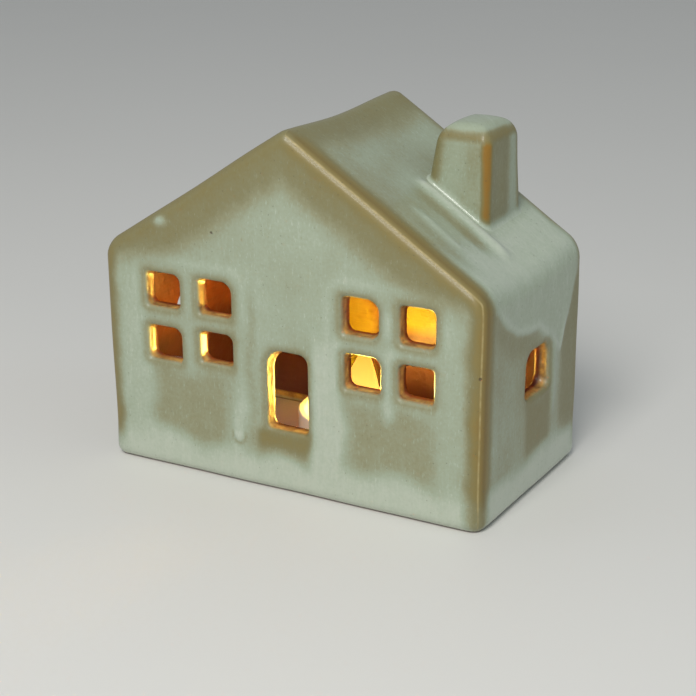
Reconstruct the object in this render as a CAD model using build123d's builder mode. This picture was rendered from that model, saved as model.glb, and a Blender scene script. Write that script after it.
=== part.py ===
from build123d import *

import os
from math import atan2, cos, tan

os.makedirs("parts", exist_ok=True)

# A small glazed stoneware house that stands over a battery tealight.
# The origin is on the table, in the middle of the house's foot.
# X runs along the front wall, Y points to the back and Z points up.

# Sizes that several pieces share
overrun = 2.0
contact_gap = 0.1
running_gap = 0.15

# Driving sizes of the house
house_width = 125.0
house_depth = 69.5
eave_height = 68.0
ridge_height = 108.0
ridge_sag = 1.2
wall = 5.0
edge_round = 4.0
foot_edge_round = 3.2
inner_round = 3.0
lip_round = 1.2

# Openings of the house
pane_width = 11.8
pane_height = 11.2
pane_round = 2.2
pane_pitch_x = 17.8
pane_pitch_z = 16.4
window_from_middle = 33.0
left_window_height = 47.7
right_window_height = 49.7
door_width = 14.6
door_sill = 19.0
door_top = 44.0
door_head_round = 5.0
door_sill_round = 1.8
side_window_width = 17.0
side_window_height = 15.0
side_window_round = 3.6
side_window_level = 37.2
side_window_shift = 2.8

# Chimney, luted to the right half of the roof over a vent hole
chimney_right_share = 0.3704
chimney_front_share = 0.0115
chimney_below_ridge = 1.0
chimney_foot_width = 22.9
chimney_foot_depth = 24.4
chimney_head_width = 16.4
chimney_head_depth = 20.6
chimney_corner = 3.6
chimney_head_round = 3.2
chimney_wall = 4.0
vent_diameter = 5.0

# Tealight body, and where its axis stands in the house
tealight_x_share = 0.064
tealight_y_share = -0.0576
tealight_diameter = 38.0
tealight_rim = 18.0
tealight_wall = 1.2
tealight_rim_round = 0.6
rim_width = 1.8
dish_depth = 2.2
dish_bank = 3.0
top_thickness = 1.2
ledge_width = 0.5
base_recess = 0.8
base_thickness = 2.0

# Flame lens, its socket and the lamp in it
flame_radius = 5.6
flame_tip = 38.5
flame_flange_width = 1.4
flame_flange_thickness = 1.2
flame_lean = 1.3
socket_wall = 1.1
socket_depth = 3.6
retainer_thickness = 1.2
lamp_diameter = 5.0
lamp_height = 8.6
lamp_flange_width = 0.4
lamp_flange_thickness = 1.0
lead_pitch = 2.54
lead_diameter = 0.5
lead_bend = 1.2
lead_end_y = 1.4
lead_below_wiper_top = 0.75

# Coin cell, the well that it sits in and its cover
cell_diameter = 20.0
cell_thickness = 3.2
cell_edge = 0.4
cell_cap_diameter = 17.4
cell_cap_rise = 0.4
cell_from_middle = 4.4
well_gap = 0.3
well_wall = 0.9
well_headroom = 0.5
well_roof = 1.2
cover_diameter = 20.4
cover_thickness = 1.8
cover_ledge = 0.8
lug_reach = 0.9
lug_places_deg = (0.0, 180.0)
lug_span_deg = 26.0
lug_notch_margin_deg = 3.0
cover_turn_deg = 40.0
stop_span_deg = 8.0
coin_slot_width = 1.8
coin_slot_length = 13.0
coin_slot_depth = 1.0
retainer_rib_length = 5.0
retainer_rib_width = 1.2
retainer_rib_pitch = 7.2

# Strips that carry the current
strip_thickness = 0.3
strip_width = 2.2
strip_from_middle = 2.0
strip_lead_in = 1.2
strip_bend = 0.4
leaf_drop_run = 2.0
leaf_foot = 1.8
window_margin = 0.5

# Switch
switch_travel = 2.5
switch_x = 12.4
knob_width = 3.2
knob_length = 3.2
knob_below_base = 0.45
grip_groove = 0.4
grip_groove_count = 3
shoe_margin = 0.8
shoe_thickness = 1.0
post_width = 1.5
post_length = 2.8
keeper_wall = 0.8
keeper_lip = 0.35
wiper_off_gap = 0.4
wiper_margin = 0.8
wiper_height = 2.0
wiper_corner = 0.3

# Heights and radii that follow from the sizes above
roof_slope = atan2(ridge_height - eave_height, house_width / 2)
chimney_right = house_width * chimney_right_share
chimney_front = house_depth * chimney_front_share
vent_x = chimney_right - chimney_head_width / 2
vent_y = chimney_front + chimney_head_depth / 2
chimney_top = ridge_height - chimney_below_ridge
tealight_radius = tealight_diameter / 2
base_floor = base_recess
base_top = base_floor + base_thickness
base_seat_radius = tealight_radius - tealight_wall
dish_floor = tealight_rim - dish_depth
top_underside = dish_floor - top_thickness
flame_hole_radius = flame_radius + 2 * contact_gap
flange_radius = flame_radius + flame_flange_width
flange_bottom = top_underside - flame_flange_thickness
socket_radius = flange_radius + contact_gap
retainer_bottom = flange_bottom - retainer_thickness
lamp_radius = lamp_diameter / 2
lamp_flange_radius = lamp_radius + lamp_flange_width
cover_top = base_floor + cover_thickness
cell_bottom = cover_top + contact_gap / 2
cell_top = cell_bottom + cell_thickness
cell_x = -cell_from_middle
well_radius = cell_diameter / 2 + well_gap
well_ceiling = cell_top + well_headroom
well_top = well_ceiling + well_roof
cover_radius = cover_diameter / 2
lug_radius = cover_radius + lug_reach
channel_radius = lug_radius + running_gap
well_outer_radius = channel_radius + well_wall
strip_y = -strip_from_middle
cell_rim_x = cell_x + cell_diameter / 2 + contact_gap
wiper_top = retainer_bottom - socket_depth / 2
wiper_bottom = wiper_top - wiper_height
lead_level = wiper_top - lead_below_wiper_top
strip_level = (base_top + wiper_bottom) / 2
strip_outer_x = switch_x - knob_width / 2 - shoe_margin
wiper_x = strip_outer_x + contact_gap
post_face_x = wiper_x + strip_thickness
wiper_low_y = strip_y + strip_width / 2 + wiper_off_gap - switch_travel
wiper_high_y = lead_end_y + lead_diameter / 2 + wiper_margin
shoe_bottom = base_top + running_gap
shoe_top = shoe_bottom + shoe_thickness
shoe_half_width = knob_width / 2 + shoe_margin
shoe_half_length = knob_length / 2 + shoe_margin
tealight_place = (house_width * tealight_x_share, house_depth * tealight_y_share, 0)


def gable_points(half_width, foot, eave, ridge):
    """Corners of a gabled wall, going round from its left foot."""
    return [(-half_width, foot), (half_width, foot), (half_width, eave), (0, ridge), (-half_width, eave)]


def ring_sector(inner_radius, outer_radius, middle_deg, span_deg):
    """Flat piece of a ring, span_deg wide about middle_deg, centred on the origin."""
    with BuildSketch(mode=Mode.PRIVATE) as sector:
        with BuildLine():
            inner = CenterArc((0, 0), inner_radius, middle_deg - span_deg / 2, span_deg)
            outer = CenterArc((0, 0), outer_radius, middle_deg - span_deg / 2, span_deg)
            Line(inner @ 0, outer @ 0)
            Line(inner @ 1, outer @ 1)
        make_face()
    return sector.sketch


def rims_of_holes(face):
    """Edges round the holes in one face."""
    return [edge for wire in face.inner_wires() for edge in wire.edges()]


def finish(piece, name, place=(0, 0, 0)):
    """Move one finished piece to its place, label it and write it to its own file."""
    piece = piece.moved(Location(place))
    piece.label = name
    export_step(piece, f"parts/{name}.step")
    print(f"{name}: {piece.volume:.1f} cubic mm, {len(piece.solids())} solid(s)")


# House body before it is hollowed: three gabled sections, the middle one with a lower ridge.
# They run over at the foot and the sides and are cut off there, so that these are true planes.
overrun_eave = eave_height - overrun * tan(roof_slope)
with BuildPart() as house_block:
    for y, dip in ((-house_depth / 2, 0), (0, ridge_sag), (house_depth / 2, 0)):
        gable = gable_points(house_width / 2 + overrun, -overrun, overrun_eave, ridge_height - dip)
        with BuildSketch(Plane.XZ.offset(-y)):
            with BuildLine():
                Polyline(*gable, close=True)
            make_face()
    loft()
    split(bisect_by=Plane.XY, keep=Keep.TOP)
    split(bisect_by=Plane.YZ.offset(house_width / 2), keep=Keep.BOTTOM)
    split(bisect_by=Plane.YZ.offset(-house_width / 2), keep=Keep.TOP)
    foot_edges = house_block.edges().group_by(Axis.Z)[0]
    fillet(house_block.edges() - foot_edges, radius=edge_round)
    fillet(house_block.edges().group_by(Axis.Z)[0], radius=foot_edge_round)

# Hollow of the house, open at the foot, one wall inside the walls and the sagging roof
inner_half_width = house_width / 2 - wall
inner_ridge = ridge_height - ridge_sag - wall / cos(roof_slope)
inner_eave = inner_ridge - inner_half_width * tan(roof_slope)
with BuildPart() as hollow:
    with BuildSketch(Plane.XZ):
        with BuildLine():
            Polyline(*gable_points(inner_half_width, 0, inner_eave, inner_ridge), close=True)
        make_face()
    extrude(amount=house_depth / 2 - wall, both=True)
    upper_edges = hollow.edges().filter_by(lambda edge: edge.center().Z > overrun)
    fillet(upper_edges, radius=inner_round)


# House shell: walls and roof cast in one, with eight panes, a door and two side windows
with BuildPart() as house_shell:
    add(house_block.part)
    add(hollow.part, mode=Mode.SUBTRACT)
    with BuildSketch(Plane.XZ.offset(house_depth / 2 + overrun)):
        window_places = ((-window_from_middle, left_window_height), (window_from_middle, right_window_height))
        with Locations(*window_places):
            with GridLocations(pane_pitch_x, pane_pitch_z, 2, 2):
                RectangleRounded(pane_width, pane_height, pane_round)
    extrude(amount=-wall - 2 * overrun, mode=Mode.SUBTRACT)
    with BuildSketch(Plane.XZ.offset(house_depth / 2 + overrun)) as door_outline:
        with Locations((0, (door_sill + door_top) / 2)):
            Rectangle(door_width, door_top - door_sill)
        fillet(door_outline.vertices().group_by(Axis.Y)[-1], radius=door_head_round)
        fillet(door_outline.vertices().group_by(Axis.Y)[0], radius=door_sill_round)
    extrude(amount=-wall - 2 * overrun, mode=Mode.SUBTRACT)
    with BuildSketch(Plane.YZ):
        with Locations((side_window_shift, side_window_level)):
            RectangleRounded(side_window_width, side_window_height, side_window_round)
    extrude(amount=house_width / 2 + overrun, both=True, mode=Mode.SUBTRACT)
    vent_height = ridge_height - vent_x * tan(roof_slope)
    with Locations((vent_x, vent_y, vent_height)):
        Cylinder(vent_diameter / 2, 2 * (wall + overrun), mode=Mode.SUBTRACT)
    fillet(rims_of_holes(house_shell.faces().sort_by(Axis.Y)[0]), radius=lip_round)
    fillet(rims_of_holes(house_shell.faces().sort_by(Axis.X)[0]), radius=lip_round)
    fillet(rims_of_holes(house_shell.faces().sort_by(Axis.X)[-1]), radius=lip_round)

finish(house_shell.part, "house_shell")


# Chimney: a hollow casting, closed on top, cut to sit on the roof all round its foot.
# Its right and front faces are upright, and the left and back ones lean in.
def tapered_tower(inset, top):
    """Tapering block with round corners, from the eaves to top, inset all round."""
    foot = (chimney_foot_width - 2 * inset, chimney_foot_depth - 2 * inset)
    head = (chimney_head_width - 2 * inset, chimney_head_depth - 2 * inset)
    with BuildPart(mode=Mode.PRIVATE) as tower:
        for level, sides in ((eave_height, foot), (top, head)):
            with BuildSketch(Plane.XY.offset(level)):
                with Locations((chimney_right - inset, chimney_front + inset)):
                    RectangleRounded(*sides, chimney_corner, align=(Align.MAX, Align.MIN))
        loft()
    return tower


with BuildPart() as chimney:
    add(tapered_tower(0, chimney_top).part)
    fillet(chimney.edges().group_by(Axis.Z)[-1], radius=chimney_head_round)
    add(tapered_tower(chimney_wall, chimney_top - chimney_wall).part, mode=Mode.SUBTRACT)
    add(house_block.part, mode=Mode.SUBTRACT)

finish(chimney.part, "chimney")


# The tealight's pieces are drawn about its own axis, and moved to their place when they are finished.

# Tealight cup: side wall, dished top with the flame hole, and the socket that hangs below it
with BuildPart() as tealight_cup:
    with BuildSketch(Plane.XZ) as cup_profile:
        with BuildLine():
            Polyline(
                (base_seat_radius, 0),
                (tealight_radius, 0),
                (tealight_radius, tealight_rim),
                (tealight_radius - rim_width, tealight_rim),
                (tealight_radius - rim_width - dish_bank, dish_floor),
                (flame_hole_radius, dish_floor),
                (flame_hole_radius, top_underside),
                (socket_radius, top_underside),
                (socket_radius, top_underside - socket_depth),
                (socket_radius + socket_wall, top_underside - socket_depth),
                (socket_radius + socket_wall, top_underside),
                (base_seat_radius - ledge_width, top_underside),
                (base_seat_radius - ledge_width, base_top),
                (base_seat_radius, base_top),
                close=True,
            )
        make_face()
        fillet(cup_profile.vertices().group_by(Axis.Y)[-1], radius=tealight_rim_round)
    revolve(axis=Axis.Z)

finish(tealight_cup.part, "tealight_cup", tealight_place)


# Flame lens: a hollow translucent flame with a flange that the cup traps from below.
# Each share row gives a section's height, its radius and how far it leans to one side.
flame_shares = (
    (0.0, 0.86, 0.0),
    (0.24, 1.0, 0.0),
    (0.5, 0.82, 0.12),
    (0.74, 0.5, 0.5),
    (0.92, 0.22, 0.9),
    (1.0, 0.09, 1.0),
)
bore_radius = lamp_radius + contact_gap
nose_centre = flange_bottom + lamp_height - lamp_radius
with BuildPart() as flame_lens:
    for height_share, radius_share, lean_share in flame_shares:
        with BuildSketch(Plane.XY.offset(top_underside + (flame_tip - top_underside) * height_share)):
            with Locations((flame_lean * lean_share, 0)):
                Circle(flame_radius * radius_share)
    loft()
    with BuildSketch(Plane.XY.offset(flange_bottom)):
        Circle(flange_radius)
    extrude(amount=flame_flange_thickness)
    with BuildSketch(Plane.XY.offset(flange_bottom)):
        Circle(lamp_flange_radius + contact_gap)
    extrude(amount=lamp_flange_thickness + contact_gap, mode=Mode.SUBTRACT)
    with BuildSketch(Plane.XZ):
        with BuildLine():
            Polyline(
                (0, nose_centre + bore_radius),
                (0, flange_bottom),
                (bore_radius, flange_bottom),
                (bore_radius, nose_centre),
            )
            RadiusArc((bore_radius, nose_centre), (0, nose_centre + bore_radius), -bore_radius)
        make_face()
    revolve(axis=Axis.Z, mode=Mode.SUBTRACT)

finish(flame_lens.part, "flame_lens", tealight_place)


# Lamp: a round-nosed 5 mm light with a flange, standing on the retainer inside the lens
with BuildPart() as lamp:
    with BuildSketch(Plane.XZ):
        with BuildLine():
            Polyline(
                (0, flange_bottom + lamp_height),
                (0, flange_bottom),
                (lamp_flange_radius, flange_bottom),
                (lamp_flange_radius, flange_bottom + lamp_flange_thickness),
                (lamp_radius, flange_bottom + lamp_flange_thickness),
                (lamp_radius, nose_centre),
            )
            RadiusArc((lamp_radius, nose_centre), (0, nose_centre + lamp_radius), -lamp_radius)
        make_face()
    revolve(axis=Axis.Z)

finish(lamp.part, "lamp", tealight_place)


# Lamp retainer: the disc that closes the socket and holds the lamp and the lens up
with BuildPart() as lamp_retainer:
    with BuildSketch(Plane.XY.offset(retainer_bottom)):
        Circle(flange_radius)
        with GridLocations(lead_pitch, lead_pitch, 2, 1):
            Circle(lead_diameter / 2 + contact_gap, mode=Mode.SUBTRACT)
    extrude(amount=retainer_thickness)

finish(lamp_retainer.part, "lamp_retainer", tealight_place)


# Base: floor plate with the cell well, the cover's channel and the switch's guides
slot_middle_y = switch_travel / 2
well_notch_height = strip_level + strip_thickness / 2 + window_margin - base_top
keeper_top = shoe_top + running_gap + keeper_wall
with BuildPart() as tealight_base:
    with BuildSketch(Plane.XY.offset(base_floor)):
        Circle(base_seat_radius - contact_gap)
    extrude(amount=base_thickness)
    with BuildSketch(Plane.XY.offset(base_top)):
        with Locations((cell_x, 0)):
            Circle(well_outer_radius)
    extrude(amount=well_top - base_top)
    with BuildSketch(Plane.XY.offset(base_floor)):
        with Locations((cell_x, 0)):
            Circle(cover_radius + running_gap)
    extrude(amount=cover_ledge, mode=Mode.SUBTRACT)
    with BuildSketch(Plane.XY.offset(base_floor + cover_ledge)):
        with Locations((cell_x, 0)):
            Circle(channel_radius)
    extrude(amount=base_thickness - cover_ledge, mode=Mode.SUBTRACT)
    with BuildSketch(Plane.XY.offset(base_top)):
        with Locations((cell_x, 0)):
            Circle(well_radius)
    extrude(amount=well_ceiling - base_top, mode=Mode.SUBTRACT)

    # Two notches let the cover's lugs in, and two stops end its turn when it is shut
    notch_span_deg = lug_span_deg + 2 * lug_notch_margin_deg
    stop_turn_deg = (lug_span_deg + stop_span_deg) / 2 + lug_notch_margin_deg
    stop_inner_radius = cover_radius + running_gap
    for side_deg in lug_places_deg:
        with BuildSketch(Plane.XY.offset(base_floor)):
            with Locations((cell_x, 0)):
                add(ring_sector(cover_radius, channel_radius, side_deg + cover_turn_deg, notch_span_deg))
        extrude(amount=cover_ledge, mode=Mode.SUBTRACT)
        with BuildSketch(Plane.XY.offset(base_floor + cover_ledge)):
            with Locations((cell_x, 0)):
                stop_middle_deg = side_deg - stop_turn_deg
                add(ring_sector(stop_inner_radius, well_outer_radius, stop_middle_deg, stop_span_deg))
        extrude(amount=base_thickness - cover_ledge)

    # A window in the well's roof for the negative leaf, and a notch in its wall for the positive strip
    with BuildSketch(Plane.XY.offset(well_ceiling)):
        with Locations((cell_x + window_margin, 0)):
            leaf_window = leaf_drop_run + leaf_foot + 2 * window_margin
            Rectangle(leaf_window, strip_width + 2 * window_margin, align=(Align.MAX, Align.CENTER))
    extrude(amount=well_roof, mode=Mode.SUBTRACT)
    with BuildSketch(Plane.XY.offset(base_top)):
        with Locations((cell_x, strip_y)):
            Rectangle(
                well_outer_radius + overrun,
                strip_width + 2 * window_margin,
                align=(Align.MIN, Align.CENTER),
            )
    extrude(amount=well_notch_height, mode=Mode.SUBTRACT)
    with BuildSketch(Plane.XY.offset(base_top)):
        with Locations((strip_outer_x - strip_thickness, strip_y)):
            strip_shelf = strip_outer_x - strip_thickness - cell_x - well_outer_radius
            Rectangle(strip_shelf, strip_width, align=(Align.MAX, Align.CENTER))
    extrude(amount=strip_level - strip_thickness / 2 - base_top)

    # Ribs that carry the lamp's retainer
    with BuildSketch(Plane.XY.offset(well_top)):
        with GridLocations(retainer_rib_pitch, retainer_rib_pitch, 1, 2):
            Rectangle(retainer_rib_length, retainer_rib_width)
    extrude(amount=retainer_bottom - well_top)

    # Slot for the switch's knob, and a lipped keeper on each side of its shoe
    with BuildSketch(Plane.XY.offset(base_floor)):
        with Locations((switch_x, slot_middle_y)):
            Rectangle(knob_width + 2 * running_gap, knob_length + switch_travel + 2 * running_gap)
    extrude(amount=base_thickness, mode=Mode.SUBTRACT)
    for side, toward in ((-1, Align.MAX), (1, Align.MIN)):
        with BuildSketch(Plane.XY.offset(base_top)):
            with Locations((switch_x + side * (shoe_half_width + running_gap), slot_middle_y)):
                Rectangle(keeper_wall, 2 * shoe_half_length + switch_travel, align=(toward, Align.CENTER))
        extrude(amount=keeper_top - base_top)
        with BuildSketch(Plane.XY.offset(keeper_top - keeper_wall)):
            with Locations((switch_x + side * (shoe_half_width + running_gap - keeper_lip), slot_middle_y)):
                lip_and_wall = keeper_wall + keeper_lip
                Rectangle(lip_and_wall, 2 * shoe_half_length + switch_travel, align=(toward, Align.CENTER))
        extrude(amount=keeper_wall)

finish(tealight_base.part, "tealight_base", tealight_place)


# Battery cover: a disc with a coin slot and two lugs, turned to lock it in the base
lug_bottom = base_floor + cover_ledge + running_gap
with BuildPart() as battery_cover:
    with BuildSketch(Plane.XY.offset(base_floor)):
        with Locations((cell_x, 0)):
            Circle(cover_radius)
    extrude(amount=cover_thickness)
    for side_deg in lug_places_deg:
        with BuildSketch(Plane.XY.offset(lug_bottom)):
            with Locations((cell_x, 0)):
                add(ring_sector(cover_radius - contact_gap, lug_radius, side_deg, lug_span_deg))
        extrude(amount=cover_top - lug_bottom)
    with BuildSketch(Plane.XY.offset(base_floor)):
        with Locations((cell_x, 0)):
            SlotOverall(coin_slot_length, coin_slot_width)
    extrude(amount=coin_slot_depth, mode=Mode.SUBTRACT)

finish(battery_cover.part, "battery_cover", tealight_place)


# Coin cell: the positive can below, the smaller negative cap on top
with BuildPart() as coin_cell:
    with BuildSketch(Plane.XY.offset(cell_bottom)):
        with Locations((cell_x, 0)):
            Circle(cell_diameter / 2)
    extrude(amount=cell_thickness - cell_cap_rise)
    fillet(coin_cell.edges().group_by(Axis.Z)[0], radius=cell_edge)
    with BuildSketch(Plane.XY.offset(cell_top - cell_cap_rise)):
        with Locations((cell_x, 0)):
            Circle(cell_cap_diameter / 2)
    extrude(amount=cell_cap_rise)

finish(coin_cell.part, "coin_cell", tealight_place)


# Negative contact: lies on the well's roof under the lamp's lead, then drops a leaf on the cell's cap
with BuildPart() as negative_contact:
    leaf_level = cell_top + strip_thickness / 2
    roof_level = well_top + strip_thickness / 2
    with BuildSketch(Plane.XZ):
        with BuildLine() as negative_route:
            FilletPolyline(
                (strip_lead_in - lead_pitch / 2, roof_level),
                (cell_x, roof_level),
                (cell_x - leaf_drop_run, leaf_level),
                (cell_x - leaf_drop_run - leaf_foot, leaf_level),
                radius=strip_bend,
            )
        trace(line_width=strip_thickness)
    extrude(amount=strip_width / 2, both=True)

finish(negative_contact.part, "negative_contact", tealight_place)


# Positive contact: from the cell's rim through the well's notch and up to the switch
with BuildPart() as positive_contact:
    with BuildSketch(Plane.XZ.offset(-strip_y)):
        with BuildLine() as positive_route:
            FilletPolyline(
                (cell_rim_x + strip_thickness / 2, cell_bottom + cell_edge),
                (cell_rim_x + strip_thickness / 2, strip_level),
                (strip_outer_x - strip_thickness / 2, strip_level),
                (strip_outer_x - strip_thickness / 2, wiper_bottom + wiper_height / 2),
                radius=strip_bend,
            )
        trace(line_width=strip_thickness)
    extrude(amount=strip_width / 2, both=True)

finish(positive_contact.part, "positive_contact", tealight_place)


# Lamp leads: the negative one stands straight on its strip, the positive one bends to the switch
with BuildPart() as lamp_lead_negative:
    with BuildSketch(Plane.XY.offset(well_top + strip_thickness)):
        with Locations((-lead_pitch / 2, 0)):
            Circle(lead_diameter / 2)
    extrude(amount=flange_bottom - well_top - strip_thickness)

finish(lamp_lead_negative.part, "lamp_lead_negative", tealight_place)

with BuildPart() as lamp_lead_positive:
    with BuildLine() as lead_route:
        FilletPolyline(
            (lead_pitch / 2, 0, flange_bottom),
            (lead_pitch / 2, 0, lead_level),
            (strip_outer_x, lead_end_y, lead_level),
            radius=lead_bend,
        )
    with BuildSketch(Plane(origin=lead_route.line @ 0, z_dir=lead_route.line % 0)):
        Circle(lead_diameter / 2)
    sweep()

finish(lamp_lead_positive.part, "lamp_lead_positive", tealight_place)


# Switch slider: the knob under the base, its shoe above the slot and the post that carries the wiper
with BuildPart() as switch_slider:
    with BuildSketch(Plane.XY.offset(base_floor - knob_below_base)):
        with Locations((switch_x, 0)):
            Rectangle(knob_width, knob_length)
    extrude(amount=knob_below_base + base_thickness + running_gap)
    with BuildSketch(Plane.XY.offset(base_floor - knob_below_base)):
        with Locations((switch_x, 0)):
            with GridLocations(grip_groove, 2 * grip_groove, 1, grip_groove_count):
                Rectangle(knob_width, grip_groove)
    extrude(amount=grip_groove / 2, mode=Mode.SUBTRACT)
    with BuildSketch(Plane.XY.offset(shoe_bottom)):
        with Locations((switch_x, 0)):
            Rectangle(2 * shoe_half_width, 2 * shoe_half_length)
    extrude(amount=shoe_thickness)
    with BuildSketch(Plane.XY.offset(shoe_top)):
        with Locations((post_face_x, 0)):
            Rectangle(post_width, post_length, align=(Align.MIN, Align.CENTER))
    extrude(amount=wiper_top - shoe_top)

finish(switch_slider.part, "switch_slider", tealight_place)


# Switch wiper: the strip on the post that joins the positive contact to the lamp's lead
with BuildPart() as switch_wiper:
    with BuildSketch(Plane.YZ.offset(wiper_x)):
        with Locations(((wiper_low_y + wiper_high_y) / 2, (wiper_bottom + wiper_top) / 2)):
            RectangleRounded(wiper_high_y - wiper_low_y, wiper_height, wiper_corner)
    extrude(amount=strip_thickness)

finish(switch_wiper.part, "switch_wiper", tealight_place)
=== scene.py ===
# %% [markdown]
# # A glazed stoneware house over a battery tealight
#
# The real object is a slip-cast house with a celadon-grey reactive glaze. Heat thins that glaze to gold
# on every arris, leaves it olive where it drained away and piles it up pale where it pooled. A tealight
# with an amber flame stands inside, and its glow fills the panes.

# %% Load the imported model
import math
import bpy
import numpy as np
from mathutils import Matrix, Vector


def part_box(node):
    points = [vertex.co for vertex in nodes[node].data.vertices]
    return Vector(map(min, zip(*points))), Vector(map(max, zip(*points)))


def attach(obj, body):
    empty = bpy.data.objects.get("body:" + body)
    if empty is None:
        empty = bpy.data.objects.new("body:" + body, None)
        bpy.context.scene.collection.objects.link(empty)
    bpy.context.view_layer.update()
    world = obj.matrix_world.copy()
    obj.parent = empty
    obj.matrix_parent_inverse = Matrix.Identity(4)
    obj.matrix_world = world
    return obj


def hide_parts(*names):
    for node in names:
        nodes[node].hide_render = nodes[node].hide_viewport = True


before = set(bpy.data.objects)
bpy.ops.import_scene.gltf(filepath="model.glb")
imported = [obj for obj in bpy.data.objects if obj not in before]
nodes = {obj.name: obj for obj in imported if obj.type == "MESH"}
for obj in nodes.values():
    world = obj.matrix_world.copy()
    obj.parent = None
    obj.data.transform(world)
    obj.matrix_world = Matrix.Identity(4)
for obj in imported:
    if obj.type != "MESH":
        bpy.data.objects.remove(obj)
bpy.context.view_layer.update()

MM = 0.001

# %% [markdown]
# ## The camera
#
# The house is seen from its front right corner and from a little above, with a long lens that keeps its
# walls nearly parallel. The camera comes first, because every later step is judged through it. Its place
# is worked out from the point it aims at, two angles and a distance, so each can be corrected alone.

# %% Camera
camera_azimuth = math.radians(29.47)
camera_elevation = math.radians(19.50)
camera_roll = math.radians(-0.25)
camera_distance = 523.7
camera_aim = Vector((5.10, -6.83, 37.37))
lens_length = 90.82
sensor_width = 36.0

backward = Vector((
    math.sin(camera_azimuth) * math.cos(camera_elevation),
    -math.cos(camera_azimuth) * math.cos(camera_elevation),
    math.sin(camera_elevation),
))
level_right = (-backward).cross(Vector((0, 0, 1))).normalized()
level_up = level_right.cross(-backward)
rightward = math.cos(camera_roll) * level_right + math.sin(camera_roll) * level_up
upward = -math.sin(camera_roll) * level_right + math.cos(camera_roll) * level_up
camera_data = bpy.data.cameras.new("photo_camera")
camera_data.lens = lens_length
camera_data.sensor_width = sensor_width
camera_data.clip_start = 0.01
camera = bpy.data.objects.new("photo_camera", camera_data)
camera.matrix_world = Matrix.Translation((camera_aim + camera_distance * backward) * MM) @ Matrix(
    (rightward, upward, backward)).transposed().to_4x4()
bpy.context.scene.collection.objects.link(camera)
bpy.context.scene.camera = camera
print("camera at", [round(value / MM, 1) for value in camera.location])

# %% [markdown]
# ## From arrays to a mesh
#
# All our shapes arrive as numpy arrays: points in millimetres and the corners of each face. One helper
# turns them into an object, hides the CAD node it stands for and hangs it on the body that carries it.
# Another stores one number per point, which is how a pattern that follows the form gets from numpy into a
# material.

# %% Helpers for pieces
def bare_mesh(name, points, faces):
    """Mesh from points in mm (n by 3) and faces (m by 3 or 4 point numbers), smooth all over."""
    corners = faces.shape[1]
    mesh = bpy.data.meshes.new(name)
    mesh.vertices.add(len(points))
    mesh.vertices.foreach_set("co", (points * MM).astype(np.float32).ravel())
    mesh.loops.add(faces.size)
    mesh.loops.foreach_set("vertex_index", faces.astype(np.int32).ravel())
    mesh.polygons.add(len(faces))
    mesh.polygons.foreach_set("loop_start", np.arange(0, faces.size, corners, dtype=np.int32))
    mesh.update(calc_edges=True)
    mesh.validate()
    mesh.shade_smooth()
    return mesh


def make_piece(name, mesh, body, node):
    """Object at the origin that stands for one CAD node and rides on its body."""
    piece = bpy.data.objects.new(name, mesh)
    bpy.context.scene.collection.objects.link(piece)
    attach(piece, body)
    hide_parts(node)
    print(f"{name}: {len(mesh.vertices)} points, {len(mesh.polygons)} faces")
    return piece


def points_of(mesh):
    """Points of a mesh in mm, n by 3."""
    flat = np.empty(3 * len(mesh.vertices), dtype=np.float32)
    mesh.vertices.foreach_get("co", flat)
    return flat.reshape(-1, 3).astype(np.float64) / MM


def store(piece, name, values):
    """One number per point, kept as an attribute that a material can read."""
    layer = piece.data.attributes.new(name, "FLOAT", "POINT")
    layer.data.foreach_set("value", np.asarray(values, dtype=np.float32))


print("one unit in our arrays is", MM, "m")

# %% [markdown]
# ## Describing clay with distances
#
# A cast house has no crisp edge: walls melt into each other, the lips of its panes are rounded, and glaze
# beads stand on it. Modelling that with bevels on a wall full of holes is hard work. Instead we write a
# *field*: a function that is negative inside the clay, positive outside, and zero on the surface. Solids
# are then joined and cut with plain maximum and minimum, and both can be rounded.

# %% Rules for joining fields
def rounded_meet(distances, radius):
    """Solid where all fields are negative: their maximum, with its arrises rounded to a radius.

    Each field is pushed in by the radius, and outside that smaller solid the distance is the length of
    the vector made of the positive fields, less the radius."""
    over = [np.maximum(distance + radius, 0) ** 2 for distance in distances]
    highest = np.maximum.reduce(distances)
    return np.minimum(highest, -radius) + np.sqrt(np.add.reduce(over))


def soft_join(first, second, reach):
    """Union of two solids with a hollow fillet: their minimum, less a cubic bump where they are close."""
    closeness = np.maximum(reach - np.abs(first - second), 0) / reach
    return np.minimum(first, second) - closeness ** 3 * reach / 6


def rounded_plate(u, v, half_width, half_height, radius):
    """Distance to a rounded rectangle about the origin: length outside the inner corners, less radius."""
    past_u = np.abs(u) - half_width + radius
    past_v = np.abs(v) - half_height + radius
    outside = np.hypot(np.maximum(past_u, 0), np.maximum(past_v, 0))
    return outside + np.minimum(np.maximum(past_u, past_v), 0) - radius


def ramp(start, end, value):
    """Smooth step from 0 at start to 1 at end: three squares less two cubes of the share between them."""
    share = np.clip((value - start) / (end - start), 0, 1)
    return share * share * (3 - 2 * share)


def bump(value, centre, spread):
    """Bell curve of height 1 round a centre: e to the minus square of the distance over the spread."""
    return np.exp(-((value - centre) / spread) ** 2)


def band(value, start, end, softness):
    """1 between start and end, fading to 0 over the softness on each side."""
    return ramp(start - softness, start + softness, value) * ramp(-end - softness, -end + softness, -value)


def wander(u, v, scale, seed):
    """Gentle unevenness between about -1 and 1: five sine waves of different directions and lengths."""
    total = np.zeros(np.broadcast(u, v).shape)
    for turn in range(5):
        angle = seed + 2.4 * turn
        length = scale * (0.55 + 0.23 * turn)
        across = u * math.cos(angle) + v * math.sin(angle)
        total = total + np.sin(2 * math.pi * across / length + 3.1 * seed + 1.7 * turn) / 3
    return total


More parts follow.
